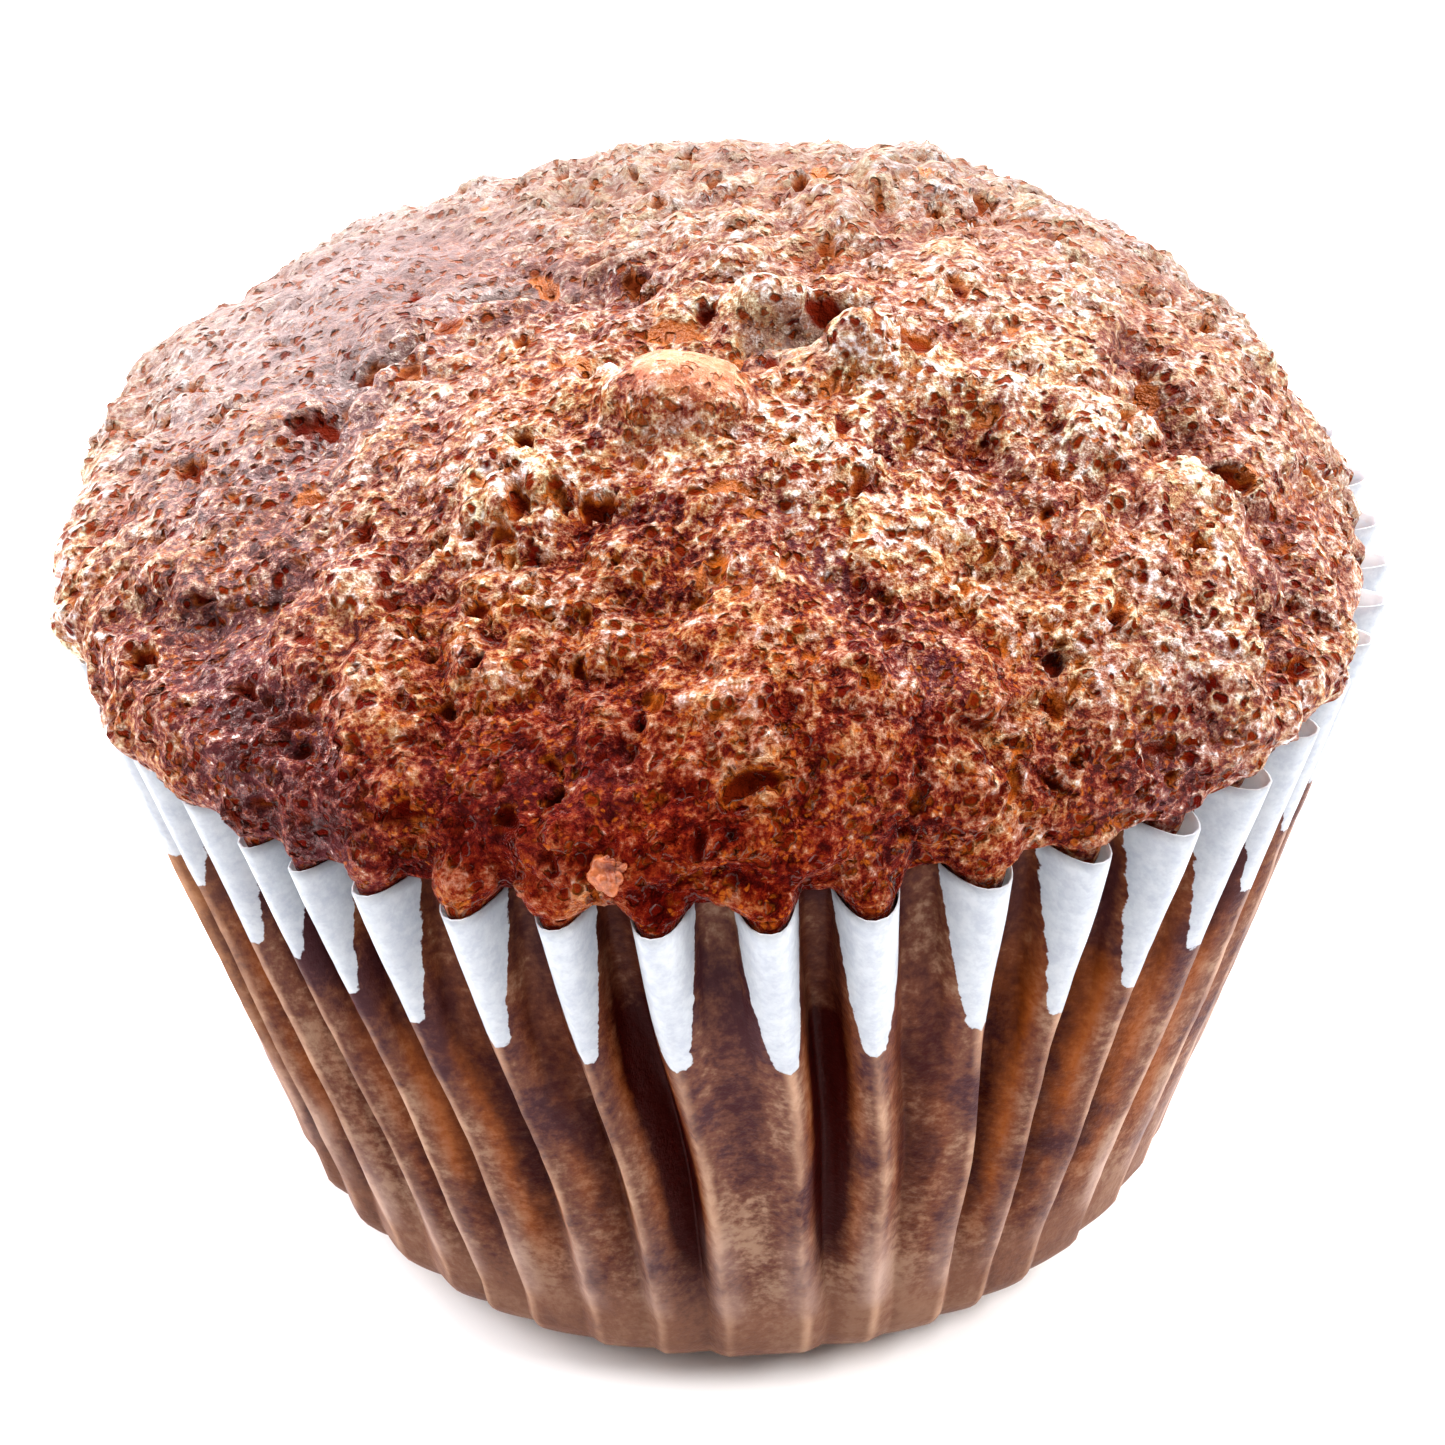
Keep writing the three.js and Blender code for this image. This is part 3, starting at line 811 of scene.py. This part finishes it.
# the holes as ellipses on the surface, ragged at the edge: dark depth and amber depth. Each is as deep
# as (share * radius + what is added), eased from its middle to its edge.
def holeDepths(base):
    depths = np.zeros((2, len(base)))
    for share, angle, radius, stretch, tilt, amber in holes:
        scale, added = cake["holeDepths"][amber]
        deep = scale * radius + added
        surface, along = (domePoint, share) if share <= 1 else (lipPoint, share - 1)
        centre = surface(np.array([along]), np.array([angle]))[0]
        away = base - centre
        turn = math.radians(angle)
        right = np.array([math.cos(turn), math.sin(turn), 0])
        outward = centre - np.array([0, 0, cake["widestHeight"] - cake["holeFocus"]])
        outward /= np.linalg.norm(outward)
        upward = np.cross(outward, right)
        a, b = away @ right, away @ upward
        lean = math.radians(tilt)
        long = (a * math.cos(lean) + b * math.sin(lean)) / stretch
        short = -a * math.sin(lean) + b * math.cos(lean)
        ragged = 1 + 0.3 * softNoise(base, radius * 0.8, 77) + 0.2 * softNoise(base, radius * 0.35, 79)
        ratio = np.sqrt(long**2 + short**2 + (away @ outward) ** 2 * 0.3) / (0.9 * radius * ragged)
        depths[amber] = np.maximum(depths[amber], deep * ease(1.15, 0.4, ratio))
    return depths


# a square grid over the dome, lip and tuck, pushed out by the crags and in by the pits and holes,
# with rings from its edge down inside the paper
def buildCake():
    side = cake["gridSide"]
    ring, angle = discGrid(side, cake["frontCrowding"])
    ring, angle = ring.ravel(), angle.ravel()
    domeEnd, lipEnd = cake["domeEnd"], cake["lipEnd"]
    share = evenShares(np.clip(ring / domeEnd, 0, 1))
    lipShare = np.clip((ring - domeEnd) / (lipEnd - domeEnd), 0, 1)
    tuckShare = np.clip((ring - lipEnd) / (1 - lipEnd), 0, 1)
    onDome = ring <= domeEnd
    base = np.where(onDome[:, None], domePoint(share, angle), lipPoint(lipShare, angle))
    base = np.where((ring > lipEnd)[:, None], tuckPoint(tuckShare, angle), base)

    # large crags go outwards as in the solid, fading on the lip
    turn = np.radians(angle)
    flatShare = np.where(onDome, share, 1)
    outward = np.stack([flatShare * np.sin(turn), -flatShare * np.cos(turn), np.sqrt(1 - flatShare**2)], 1)
    fade = np.where(onDome, 1, 1 - lipShare)
    body = base + outward * ((largeRelief(base) + knobRelief(base)) * fade)[:, None]

    # fine crags along the true normal
    normal = gridNormals(body, side)
    fine = ease(lipEnd + 0.01, domeEnd + 0.02, ring)
    rough = 0.8 + 0.45 * softNoise(body, 9, 3)
    blister = mounds(body[:, 0], body[:, 1], [cake["blister"]])
    size, tall = cake["lumpSizes"], cake["lumpHeights"]
    crumbLumps = tall[0] * lumps(stirred(body, 4, 1.2, 5), size[0], 12)
    crumbLumps += tall[3] * softNoise(body, size[3], 29)
    crumbLumps += rough * (tall[1] * lumps(body, size[1], 21) + tall[2] * lumps(body, size[2], 25))
    crumbLumps *= 1 - 0.8 * blister
    openness = np.clip(rough, 0.4, 1.3)
    torn = stirred(stirred(body, 1.5, 0.5, 81), 0.55, 0.28, 91)
    pitDepth, rim = np.zeros((2, len(body)))
    for row in cake["pits"]:
        moreDepth, moreRim = pits(torn, *row)
        pitDepth = np.maximum(pitDepth, moreDepth * openness)
        rim = np.maximum(rim, moreRim)
    pitDepth *= 1 - 0.85 * blister
    rim *= ease(0.3, 0.0, pitDepth) * (1 - blister)
    darkDepth, amberDepth = holeDepths(base) * ease(lipEnd + 0.01, lipEnd - 0.02, ring)
    relief = fine * (crumbLumps + 0.35 * rim - 1.05 * pitDepth - creaseDepth(base)) - darkDepth - amberDepth
    points = body + normal * relief[:, None]

    # the grid's edge goes on down inside the paper and closes at the bottom
    index = np.arange(side * side).reshape(side, side)
    edge = np.concatenate([index[0, :-1], index[:-1, -1], index[-1, :0:-1], index[:0:-1, 0]])
    p = placeAtRim(angle[edge])
    rings = [bodyPoint(p, np.full_like(p, rise)) for rise in cake["bodyRises"]]
    inset = case["thickness"] + cake["innerGap"]
    bottom = rings[-1] * cake["bottomShare"]
    bottom[:, 2] = inset
    rings.append(bottom)
    count = len(points)
    columns = len(edge)
    body = np.concatenate([points, *rings, [[0, 0, inset]]])
    ringIndex = count + np.arange(len(rings) * columns).reshape(len(rings), columns)
    stack = np.concatenate([[edge], ringIndex])[::-1]
    quads = np.stack([index[:-1, :-1], index[:-1, 1:], index[1:, 1:], index[1:, :-1]], -1).reshape(-1, 4)
    quads = np.concatenate([quads, ringQuads(stack)])
    lowest = stack[0]
    fan = np.stack([np.roll(lowest, -1), lowest, np.full(columns, len(body) - 1)], 1)

    # values for the crumb's colours, with only the painted front shade at 1 inside the paper
    x, y = base[:, 0], base[:, 1]
    onCrust = dict(
        pit=pitDepth * fine,
        hole=darkDepth,
        amberHole=amberDepth,
        # crag: raised crumb and pit rims, painted lighter in the crumb's tone
        crag=crumbLumps + 0.7 * rim,
        low=swell(angle, *cake["shadedFront"]) * ease(*cake["shadedRings"], ring),
        knob=blister,
        moisture=mounds(x, y, wetPlaces),
        # shade: the places of painted light and shade
        shade=mounds(x, y, paintedLightAndShadePlaces),
        cleft=cleftShare(stirred(base, 3, 1.2, 15)),
    )
    inside = np.zeros(len(body) - count)
    values = {key: np.append(value, inside + (key == "low")) for key, value in onCrust.items()}
    return addPiece("cakeCrumb", body, quads, fan, values)


cakePiece = buildCake()
print("cake:", len(cakePiece.data.polygons), "faces")


# one loose crumb on the lip

looseCrumb = dict(
    share=0.22,
    angle=-8.8,
    standOff=(0, -0.35, 0.1),
    size=(0.85, 0.65, 0.9),
    roundness=0.85,
    pits=(0.6, 67, 0.6, 0.15, 0.4),
    sides=56,
    rings=34,
)


# a ball with its radius moved by a noise, lumps and pits, squeezed along its three sizes
def buildLooseCrumb():
    c = looseCrumb
    around = np.linspace(0, 2 * math.pi, c["sides"], endpoint=False)
    upward = np.linspace(-math.pi / 2, math.pi / 2, c["rings"] + 2)[1:-1]
    a, b = np.meshgrid(around, upward)
    ball = np.stack([np.cos(b) * np.cos(a), np.cos(b) * np.sin(a), np.sin(b)], -1).reshape(-1, 3)
    ball = np.concatenate([ball, [[0, 0, -1], [0, 0, 1]]])
    radius = c["roundness"] + 0.4 * softNoise(ball, 0.9, 61) + 0.28 * lumps(ball, 0.5, 63)
    radius -= 0.25 * pits(ball, *c["pits"])[0]
    centre = lipPoint(np.array([c["share"]]), np.array([c["angle"]]))[0] + c["standOff"]
    points = centre + ball * radius[:, None] * c["size"]
    rings = np.arange(c["rings"] * c["sides"]).reshape(c["rings"], c["sides"])
    after = np.roll(rings, -1, axis=1)
    low, high = len(points) - 2, len(points) - 1
    caps = np.concatenate([
        np.stack([after[0], rings[0], np.full(c["sides"], low)], 1),
        np.stack([rings[-1], after[-1], np.full(c["sides"], high)], 1),
    ])
    values = dict(crag=radius - c["roundness"])
    return addPiece("looseCrumb", points, ringQuads(rings), caps, values)


crumbPiece = buildLooseCrumb()
print("loose crumb:", len(crumbPiece.data.polygons), "faces")


# shader tool

# one output socket. Sums of wires and numbers add Math nodes; node() adds any other node.
class Wire:
    def __init__(self, tree, socket=None):
        self.tree = tree
        self.socket = socket

    def node(self, kind, settings=None, values=None, output=0):
        made = self.tree.nodes.new(kind)
        for key, value in (settings or {}).items():
            if key == "stops":
                ramp = made.color_ramp
                while len(ramp.elements) < len(value):
                    ramp.elements.new(0.5)
                for element, (place, colour) in zip(ramp.elements, value):
                    element.position = place
                    element.color = (*colour, 1)
            else:
                setattr(made, key, value)
        for key, value in (values or {}).items():
            if isinstance(value, Wire):
                self.tree.links.new(value.socket, made.inputs[key])
            else:
                made.inputs[key].default_value = value
        return Wire(self.tree, made.outputs[output])

    def other(self, output):
        return Wire(self.tree, self.socket.node.outputs[output])

    def maths(self, operation, first, second, clamp=False):
        settings = {"operation": operation, "use_clamp": clamp}
        return self.node("ShaderNodeMath", settings, {0: first, 1: second})

    def __add__(self, value):
        return self.maths("ADD", self, value)

    __radd__ = __add__

    def __mul__(self, value):
        return self.maths("MULTIPLY", self, value)

    def __sub__(self, value):
        return self.maths("SUBTRACT", self, value)

    def __rsub__(self, value):
        return self.maths("SUBTRACT", value, self)

    def clamped(self):
        return self.maths("ADD", self, 0.0, True)

    # eased step between two numbers, clamped
    def step(self, low, high):
        values = {"Value": self, "From Min": low, "From Max": high, "To Min": 0.0, "To Max": 1.0}
        return self.node("ShaderNodeMapRange", {"interpolation_type": "SMOOTHSTEP"}, values)


# a colour mixed with another by a factor, or multiplied by it
def mixColours(start, factor, first, second, mode="MIX"):
    first = first if isinstance(first, Wire) else (*first, 1)
    second = second if isinstance(second, Wire) else (*second, 1)
    values = {0: factor, 6: first, 7: second}
    return start.node("ShaderNodeMix", {"data_type": "RGBA", "blend_type": mode}, values, 2)


# colours of a look laid over one another: rows of a share and a name, where a tint multiplies
def layered(colour, look, *rows):
    for share, key in rows:
        mode = "MULTIPLY" if key.endswith("Tint") else "MIX"
        colour = mixColours(colour, share, colour, look[key], mode)
    return colour


# a material with its constants set, a wire to start from and its shader
def newMaterial(name, constants):
    material = bpy.data.materials.new(name)
    material.use_nodes = True
    shader = material.node_tree.nodes["Principled BSDF"]
    for key, value in constants.items():
        shader.inputs[key].default_value = value
    return material, Wire(material.node_tree), shader


# a value stored at the vertices
def attribute(start, name):
    return start.node("ShaderNodeAttribute", {"attribute_name": name}, None, "Fac")


# noise with this many waves to the metre
def noise(start, where, perMetre, detail, roughness=0.55):
    values = {"Vector": where, "Scale": perMetre, "Detail": detail, "Roughness": roughness}
    return start.node("ShaderNodeTexNoise", None, values)


def bump(start, height, strength, distance):
    values = {"Height": height, "Strength": strength, "Distance": distance}
    return start.node("ShaderNodeBump", None, values)


def connect(start, wire, shader, socket):
    start.tree.links.new(wire.socket, shader.inputs[socket])


# crust and crumb

crumbLook = dict(
    stops=(
        (0.0, (0.036, 0.0008, 0.0003)),
        (0.20, (0.095, 0.0055, 0.0016)),
        (0.36, (0.175, 0.0310, 0.0080)),
        (0.50, (0.258, 0.1040, 0.0490)),
        (0.68, (0.350, 0.2000, 0.1260)),
        (0.84, (0.440, 0.3150, 0.2400)),
        (1.0, (0.640, 0.5600, 0.5050)),
    ),
    amber=(0.38, 0.102, 0.011),
    amberDepth=(0.140, 0.015, 0.002),
    maroon=(0.125, 0.0085, 0.0020),
    poreShade=(0.080, 0.0030, 0.0006),
    deepHole=(0.135, 0.0140, 0.0040),
    plum=(0.130, 0.036, 0.045),
    goldTint=(1.08, 1.06, 0.66),
    mauveTint=(0.92, 0.88, 1.25),
    rosy=(0.54, 0.205, 0.115),
    paintedLeftSheen=(0.290, 0.246, 0.244),
    sheenPaledWall=(0.140, 0.056, 0.024),
    shadedFrontTint=(0.96, 0.76, 0.76),
    farSheenTint=(0.66, 0.92, 1.18),
    paintedSheen=(0.262, 0.198, 0.182),
    shadeTint=(1.0, 0.62, 0.50),
    dewReflection=(0.38, 0.34, 0.31),
    paintedGlint=(0.86, 0.80, 0.80),
    matteRoughness=0.6,
    moistRoughness=0.26,
)


# a matte skin mixed with a moist one by a film, both in the same colour
def crumbMaterial():
    look = crumbLook
    constants = {
        "Specular IOR Level": 0.03,
        "Specular Tint": (1.0, 0.7, 0.6, 1.0),
        "Sheen Weight": 0.14,
        "Sheen Roughness": 0.15,
        "Sheen Tint": (1.0, 0.96, 0.96, 1.0),
    }
    material, start, shader = newMaterial("bakedCrumb", constants)
    moist = start.node("ShaderNodeBsdfPrincipled", None, {"Specular IOR Level": 1.0, "IOR": 1.7})
    where = start.node("ShaderNodeTexCoord", None, None, "Object")
    keys = ("pit", "hole", "amberHole", "crag", "low", "knob", "cleft", "moisture", "shade")
    pit, hole, amberHole, crag, low, knob, cleft, moisture, shade = (attribute(start, key) for key in keys)
    broad = noise(start, where, 120, 2)
    patch = noise(start, where, 420, 3, 0.6)
    hue = noise(start, where, 800, 3, 0.6)
    crumb = noise(start, where, 1000, 4, 0.7)

    # pores too small for the mesh: cells pulled out of shape by a noise
    grit = noise(start, where, 2600, 3, 0.65)
    pulled = start.node("ShaderNodeVectorMath", {"operation": "MULTIPLY_ADD"},
                        {0: hue.other("Color"), 1: (0.0012, 0.0012, 0.0012), 2: where})
    cells = {}
    for key, perMetre in (("pore", 1500.0), ("finePore", 2700.0)):
        values = {"Vector": pulled, "Scale": perMetre}
        cells[key] = start.node("ShaderNodeTexVoronoi", None, values, "Distance")
    pore = cells["pore"].step(0.48, 0.26) * cells["pore"].other("Color").step(0.38, 0.46)
    finePore = cells["finePore"].step(0.44, 0.22) * cells["finePore"].other("Color").step(0.42, 0.50)
    # painted glints: white specks where the grit and crumb noises are high
    glint = grit.step(0.60, 0.70) * crumb.step(0.48, 0.60)

    # the solid crumb between the pores: smoother on the far side, on the shaded front and on the blister.
    # Its tone holds painted light and shade: lighter on raised crumb and pit rims, darker in pits, in the
    # cracks and on the lower front, with the places of painted light and shade added
    place = start.node("ShaderNodeSeparateXYZ", None, {"Vector": where}, "X")
    far = place.other("Y").step(-0.016, 0.018)
    leftSide = place.step(-0.004, -0.024)
    grainy = (1 - far * 0.56) * (1 - low * low * 0.55) * (1 - knob * 0.6)
    tone = 0.545 + ((crumb - 0.5) * 1.5 + (grit - 0.5) * 2.5) * grainy
    tone = tone + ((patch - 0.5) * 0.6 + crag * 0.30) * (1 - far * 0.55)
    tone = tone - pit * 0.25 - low * 0.36 - cleft * 0.2 + shade
    colour = start.node("ShaderNodeValToRGB", {"stops": look["stops"]}, {"Fac": tone}, "Color")
    # painted sheen: a pale, cool veil of grazing light over the far side and the right and left edges
    sheenShare = far * 0.34 + (1 - far) * (place.step(0.008, 0.024) * 0.16 + place.step(-0.010, -0.022) * 0.08)
    # purple in broad patches at random, and in the cracks purple painted shade
    plum = broad.step(0.52, 0.66) * 0.12 + cleft * patch.step(0.40, 0.62) * (0.7 - grit) * 1.6

    # a painted sheen high on the left side: pale glare of the light from the back left
    paintedLeftSheen = leftSide * place.other("Z").step(0.0385, 0.0425) * place.other("Y").step(-0.026, 0.004) * 0.50
    colour = layered(
        colour,
        look,
        (hue.step(0.46, 0.60) * 0.7, "goldTint"),
        (hue.step(0.48, 0.36) * 0.35, "mauveTint"),
        # painted shade: the lower front darker and redder
        (low, "shadedFrontTint"),
        (far, "farSheenTint"),
        (sheenShare * (1 - low), "paintedSheen"),
        ((pit * 1.2 - crag * 0.9).step(0.0, 0.6), "shadeTint"),
        # moist places greyed: painted reflection on the moisture
        (moisture * (0.1 + patch * 0.6), "dewReflection"),
        (plum.clamped(), "plum"),
        (knob.step(0.25, 0.8) * (0.55 + crumb * 0.5), "rosy"),
        (paintedLeftSheen * (0.5 + patch), "paintedLeftSheen"),
    )

    # the pores: amber or dark red walls round deeper hollows. The hollows' dark cores are painted shade,
    # and the amber walls are partly the crumb's colour, partly a painted glow of light through it
    opened = (pore + finePore * 0.7).clamped() * (1 - knob * 0.9) * (1 - far * 0.45)
    amberShare = (patch + hue * 0.6 - low * 0.14 - cleft * 0.1).step(0.60, 0.76)
    walls = mixColours(start, amberShare, look["maroon"], look["amber"])
    # pore walls paler on the far and left sides: painted sheen
    walls = mixColours(start, (far * 0.5 + leftSide * 0.3).clamped(), walls, look["sheenPaledWall"])
    walled = (opened + pit.step(0.08, 0.28) * (0.9 - far * 0.4)).clamped()
    colour = mixColours(start, walled * 0.9, colour, walls)
    depths = mixColours(start, amberShare, look["poreShade"], look["amberDepth"])
    cores = (cells["pore"].step(0.40, 0.22) * pore + pit.step(0.22, 0.44)).clamped() * (1 - far * 0.6)
    colour = mixColours(start, cores * (1 - knob), colour, depths)
    wet = ((1 - low) * (broad + patch * 0.7).step(0.66, 1.02) + cleft * 0.5 - knob * 0.3).clamped()
    closed = (1 - opened) * (1 - hole.step(0.1, 0.5)) * (1 - (pit + amberHole).step(0.1, 0.32))
    colour = layered(
        colour,
        look,
        (amberHole.step(0.06, 0.22) * (0.75 + crumb * 0.3), "amber"),
        (amberHole.step(0.28, 0.55) * 0.7, "amberDepth"),
        (hole.step(0.1, 0.4), "deepHole"),
        (glint * (0.12 + wet * 0.5) * closed * (1 - far), "paintedGlint"),
    )

    height = (crumb * 1.5 + grit * 0.8 - pore * 1.2) * (1 - far * 0.5) * (1 - knob * 0.5)
    normal = bump(start, height, 1.0, 0.00034)
    beads = grit.step(0.42, 0.62)
    film = ((1 - low) * 0.07 + wet * beads * 0.5) * closed * (1 - far * 0.5)
    film = (film + amberHole.step(0.1, 0.3) * 0.25).clamped()
    matte = Wire(start.tree, shader.outputs[0])
    skin = start.node("ShaderNodeMixShader", None, {0: film, 1: matte, 2: moist})
    connect(start, skin, material.node_tree.nodes["Material Output"], "Surface")
    for one, rough in ((shader, look["matteRoughness"]), (moist.socket.node, look["moistRoughness"])):
        connect(start, colour, one, "Base Color")
        connect(start, rough + (crumb - 0.5) * 0.3, one, "Roughness")
        connect(start, normal, one, "Normal")
    return material


# the loose crumb is drier and lighter than the crust
def looseCrumbMaterial():
    look = dict(light=(0.36, 0.105, 0.032), deep=(0.14, 0.020, 0.006))
    constants = {
        "Subsurface Weight": 0.15,
        "Subsurface Radius": (1.0, 0.4, 0.15),
        "Subsurface Scale": 0.0006,
        "Roughness": 0.35,
    }
    material, start, shader = newMaterial("looseCrumbSkin", constants)
    where = start.node("ShaderNodeTexCoord", None, None, "Object")
    grain = noise(start, where, 2600, 3, 0.6)
    # lighter where the crumb bulges out, darker in its pits: painted light and shade
    tone = grain.step(0.38, 0.62) * 0.6 + attribute(start, "crag").step(-0.2, 0.2) * 0.5
    connect(start, mixColours(start, tone.clamped(), look["deep"], look["light"]), shader, "Base Color")
    connect(start, bump(start, grain, 0.8, 0.0002), shader, "Normal")
    return material


# paper: dry tongues over soaked, see-through sides

paperLook = dict(
    dry=(0.418, 0.438, 0.462),
    dryShade=(0.330, 0.350, 0.390),
    paintedLitInside=(0.74, 0.77, 0.82),
    soaked=(0.112, 0.047, 0.031),
    tan=(0.232, 0.146, 0.101),
    plum=(0.056, 0.022, 0.026),
    deep=(0.026, 0.0012, 0.0003),
    amber=(0.215, 0.056, 0.004),
    paintedSideGlow=(0.50, 0.235, 0.085),
    ridge=(0.43, 0.275, 0.190),
    flare=(0.40, 0.290, 0.255),
    bottom=(0.200, 0.100, 0.064),
)


# soaked and dry paper mixed by the distance inside the tongues, with a ragged edge
def paperMaterial():
    look = paperLook
    constants = {
        "Specular IOR Level": 0.05,
        "Subsurface Weight": 0.4,
        "Subsurface Radius": (1.0, 0.85, 0.8),
        "Subsurface Scale": 0.0002,
    }
    material, start, shader = newMaterial("greaseproofPaper", constants)
    where = start.node("ShaderNodeTexCoord", None, None, "Object")
    keys = ("tongueEdge", "rise", "inner", "ridge", "stainDark", "stainAmber")
    tongueEdge, rise, inner, ridge, stainDark, stainAmber = (attribute(start, key) for key in keys)
    fine = noise(start, where, 2300, 3, 0.65)
    grain = noise(start, where, 1100, 4, 0.65)
    ragged = (noise(start, where, 330, 3, 0.6) - 0.5) * 0.9 + (grain - 0.5) * 0.75 + (fine - 0.5) * 0.2
    dry = (tongueEdge + ragged).step(-0.05, 0.05) * (1 - inner)
    dry = (dry + inner * rise.step(0.86, 0.93)).clamped()
    stretched = start.node("ShaderNodeMapping", None, {"Vector": where, "Scale": (1.0, 1.0, 0.55)})
    mottle = noise(start, stretched, 230, 5, 0.6)
    patchy = noise(start, stretched, 560, 3, 0.6)

    # wet crumb shows through the paper as a fine mottle
    tone = 0.54 + (mottle - 0.5) * 2.2 + (patchy - 0.5) * 1.1 + (grain - 0.5) * 1.0 + (fine - 0.5) * 1.2
    tone = tone - rise.step(0.35, 0.8) * 0.20
    wet = mixColours(start, tone.step(0.05, 0.55), look["plum"], look["soaked"])
    sideways = start.node("ShaderNodeSeparateXYZ", None, {"Vector": where}, "X")
    # painted glow of light through the paper on the left and right sides
    paintedSideGlow = (sideways * sideways).step(0.00046, 0.00082) * sideways.step(0.04, -0.02)
    broken = 0.45 + (mottle - 0.5) * 2.6 + (patchy - 0.5) * 1.2
    # painted sheen: pale flares at the lower ends of the outer folds
    paintedLowSheen = ridge.step(1.3, 0.1) * rise.step(0.34, 0.12) * rise.step(0.0, 0.06)
    wet = layered(
        wet,
        look,
        (tone.step(0.45, 1.05), "tan"),
        (paintedSideGlow * (0.15 + mottle * 0.6), "paintedSideGlow"),
        (rise.step(0.14, 0.0) * 0.6, "bottom"),
        ((stainAmber * mottle.step(0.30, 0.60)).clamped() * 0.85, "amber"),
        # soaked paper and painted shade: the deep valleys darkest
        ((stainDark * 1.6 - (tone - 0.54) * 0.5 - 0.1).clamped(), "deep"),
        # painted highlight: pale lines along the outer folds
        ((ridge.step(0.42, 0.0) * broken).clamped() * 0.75, "ridge"),
        ((paintedLowSheen * (mottle - 0.3) * 2.6).clamped() * 0.6, "flare"),
    )
    shaded = grain.step(0.62, 0.38) * 0.5 + fine.step(0.6, 0.4) * 0.4
    white = mixColours(start, shaded, look["dry"], look["dryShade"])
    # painted light: the inside of the paper paler than the outside, as if lit through it
    white = mixColours(start, inner, white, look["paintedLitInside"])
    colour = mixColours(start, dry, wet, white)
    crinkle = noise(start, stretched, 900, 4, 0.7) + fine * 0.5
    normal = bump(start, crinkle * (1 - dry * 0.75), 0.5, 0.00018)
    connect(start, colour, shader, "Base Color")
    connect(start, 0.45 + dry * 0.2 + (mottle - 0.5) * 0.2, shader, "Roughness")
    connect(start, normal, shader, "Normal")
    return material


cakePiece.data.materials.append(crumbMaterial())
crumbPiece.data.materials.append(looseCrumbMaterial())
paperPiece.data.materials.append(paperMaterial())
for piece, nodes, slot in ((cakePiece, ("cake",), "crumb"), (paperPiece, ("paper_case",), "paper")):
    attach(piece, "root")
    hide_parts(*nodes)
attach(crumbPiece, "root")
print("materials done")


# floor, light and camera

studio = dict(
    floorSize=3.0,
    floorColour=(0.93, 0.93, 0.94),
    skyFront=(0.42, 0.390, 0.370),
    skyBehind=(2.5, 2.53, 2.65),
    # direction each comes from (degrees round from the front and up), strength, colour, softness
    lamps=(
        ("windowLeft", (-98, 26), 2.0, (1.0, 0.985, 0.98), 30),
        ("windowRight", (80, 44), 3.0, (1.0, 0.985, 0.97), 30),
        ("windowBackLeft", (-128, 17), 2.4, (1.0, 0.985, 0.98), 24),
        ("windowBehind", (176, 30), 2.0, (1.0, 0.99, 0.99), 24),
        ("windowBackRight", (134, 24), 2.0, (0.98, 0.985, 1.0), 24),
        ("skylight", (165, 62), 2.0, (1.0, 0.99, 0.98), 20),
    ),
)
view = dict(
    elevation=34.75,
    distance=140.0,
    targetHeight=23.65,
    focalPixels=2647.4,
    framePixels=1445,
    axisPixel=731.0,
)


# a pale floor, soft lamps all round and a sky that brightens towards the back
def buildStudio():
    half = studio["floorSize"] / 2
    mesh = bpy.data.meshes.new("floor")
    corners = [(-half, -half, 0), (half, -half, 0), (half, half, 0), (-half, half, 0)]
    mesh.from_pydata(corners, [], [(0, 1, 2, 3)])
    floor = bpy.data.objects.new("floor", mesh)
    bpy.context.scene.collection.objects.link(floor)
    material, start, shader = newMaterial("paleFloor", {"Roughness": 0.7, "Specular IOR Level": 0.2})
    where = start.node("ShaderNodeTexCoord", None, None, "Object")
    shade = mixColours(start, noise(start, where, 30, 2) * 0.05, studio["floorColour"], (0.7, 0.7, 0.72))
    connect(start, shade, shader, "Base Color")
    mesh.materials.append(material)
    for name, (around, up), strength, colour, softness in studio["lamps"]:
        lamp = bpy.data.lights.new(name, "SUN")
        lamp.energy = strength
        lamp.color = colour
        lamp.angle = math.radians(softness)
        lit = bpy.data.objects.new(name, lamp)
        bpy.context.scene.collection.objects.link(lit)
        turn = Matrix.Rotation(math.radians(around), 4, "Z")
        lit.matrix_world = turn @ Matrix.Rotation(math.radians(90 - up), 4, "X")
    world = bpy.data.worlds.new("sky")
    world.use_nodes = True
    start = Wire(world.node_tree)
    direction = start.node("ShaderNodeTexCoord", None, None, "Generated")
    backwards = start.node("ShaderNodeSeparateXYZ", None, {"Vector": direction}, "Y")
    windowSide = backwards * 0.9 - backwards.other("X") * 0.4
    sky = mixColours(start, windowSide.step(-0.5, 0.85), studio["skyFront"], studio["skyBehind"])
    start.tree.links.new(sky.socket, world.node_tree.nodes["Background"].inputs["Color"])
    bpy.context.scene.world = world


# the camera stands at a distance and elevation in front of a point on the axis, shifted a little
def buildCamera():
    data = bpy.data.cameras.new("camera")
    camera = bpy.data.objects.new("camera", data)
    bpy.context.scene.collection.objects.link(camera)
    up = math.radians(view["elevation"])
    distance = view["distance"] * millimetre
    high = view["targetHeight"] * millimetre + distance * math.sin(up)
    place = Matrix.Translation((0, -distance * math.cos(up), high))
    camera.matrix_world = place @ Matrix.Rotation(math.pi / 2 - up, 4, "X")
    data.sensor_width = 36.0
    data.lens = view["focalPixels"] / view["framePixels"] * data.sensor_width
    data.shift_x = (view["framePixels"] / 2 - view["axisPixel"]) / view["framePixels"]
    data.clip_start = 0.005
    data.clip_end = 20.0
    bpy.context.scene.camera = camera


buildStudio()
buildCamera()
bpy.context.scene.view_settings.view_transform = "Standard"
bpy.context.scene.view_settings.look = "Medium High Contrast"
print("scene ready")
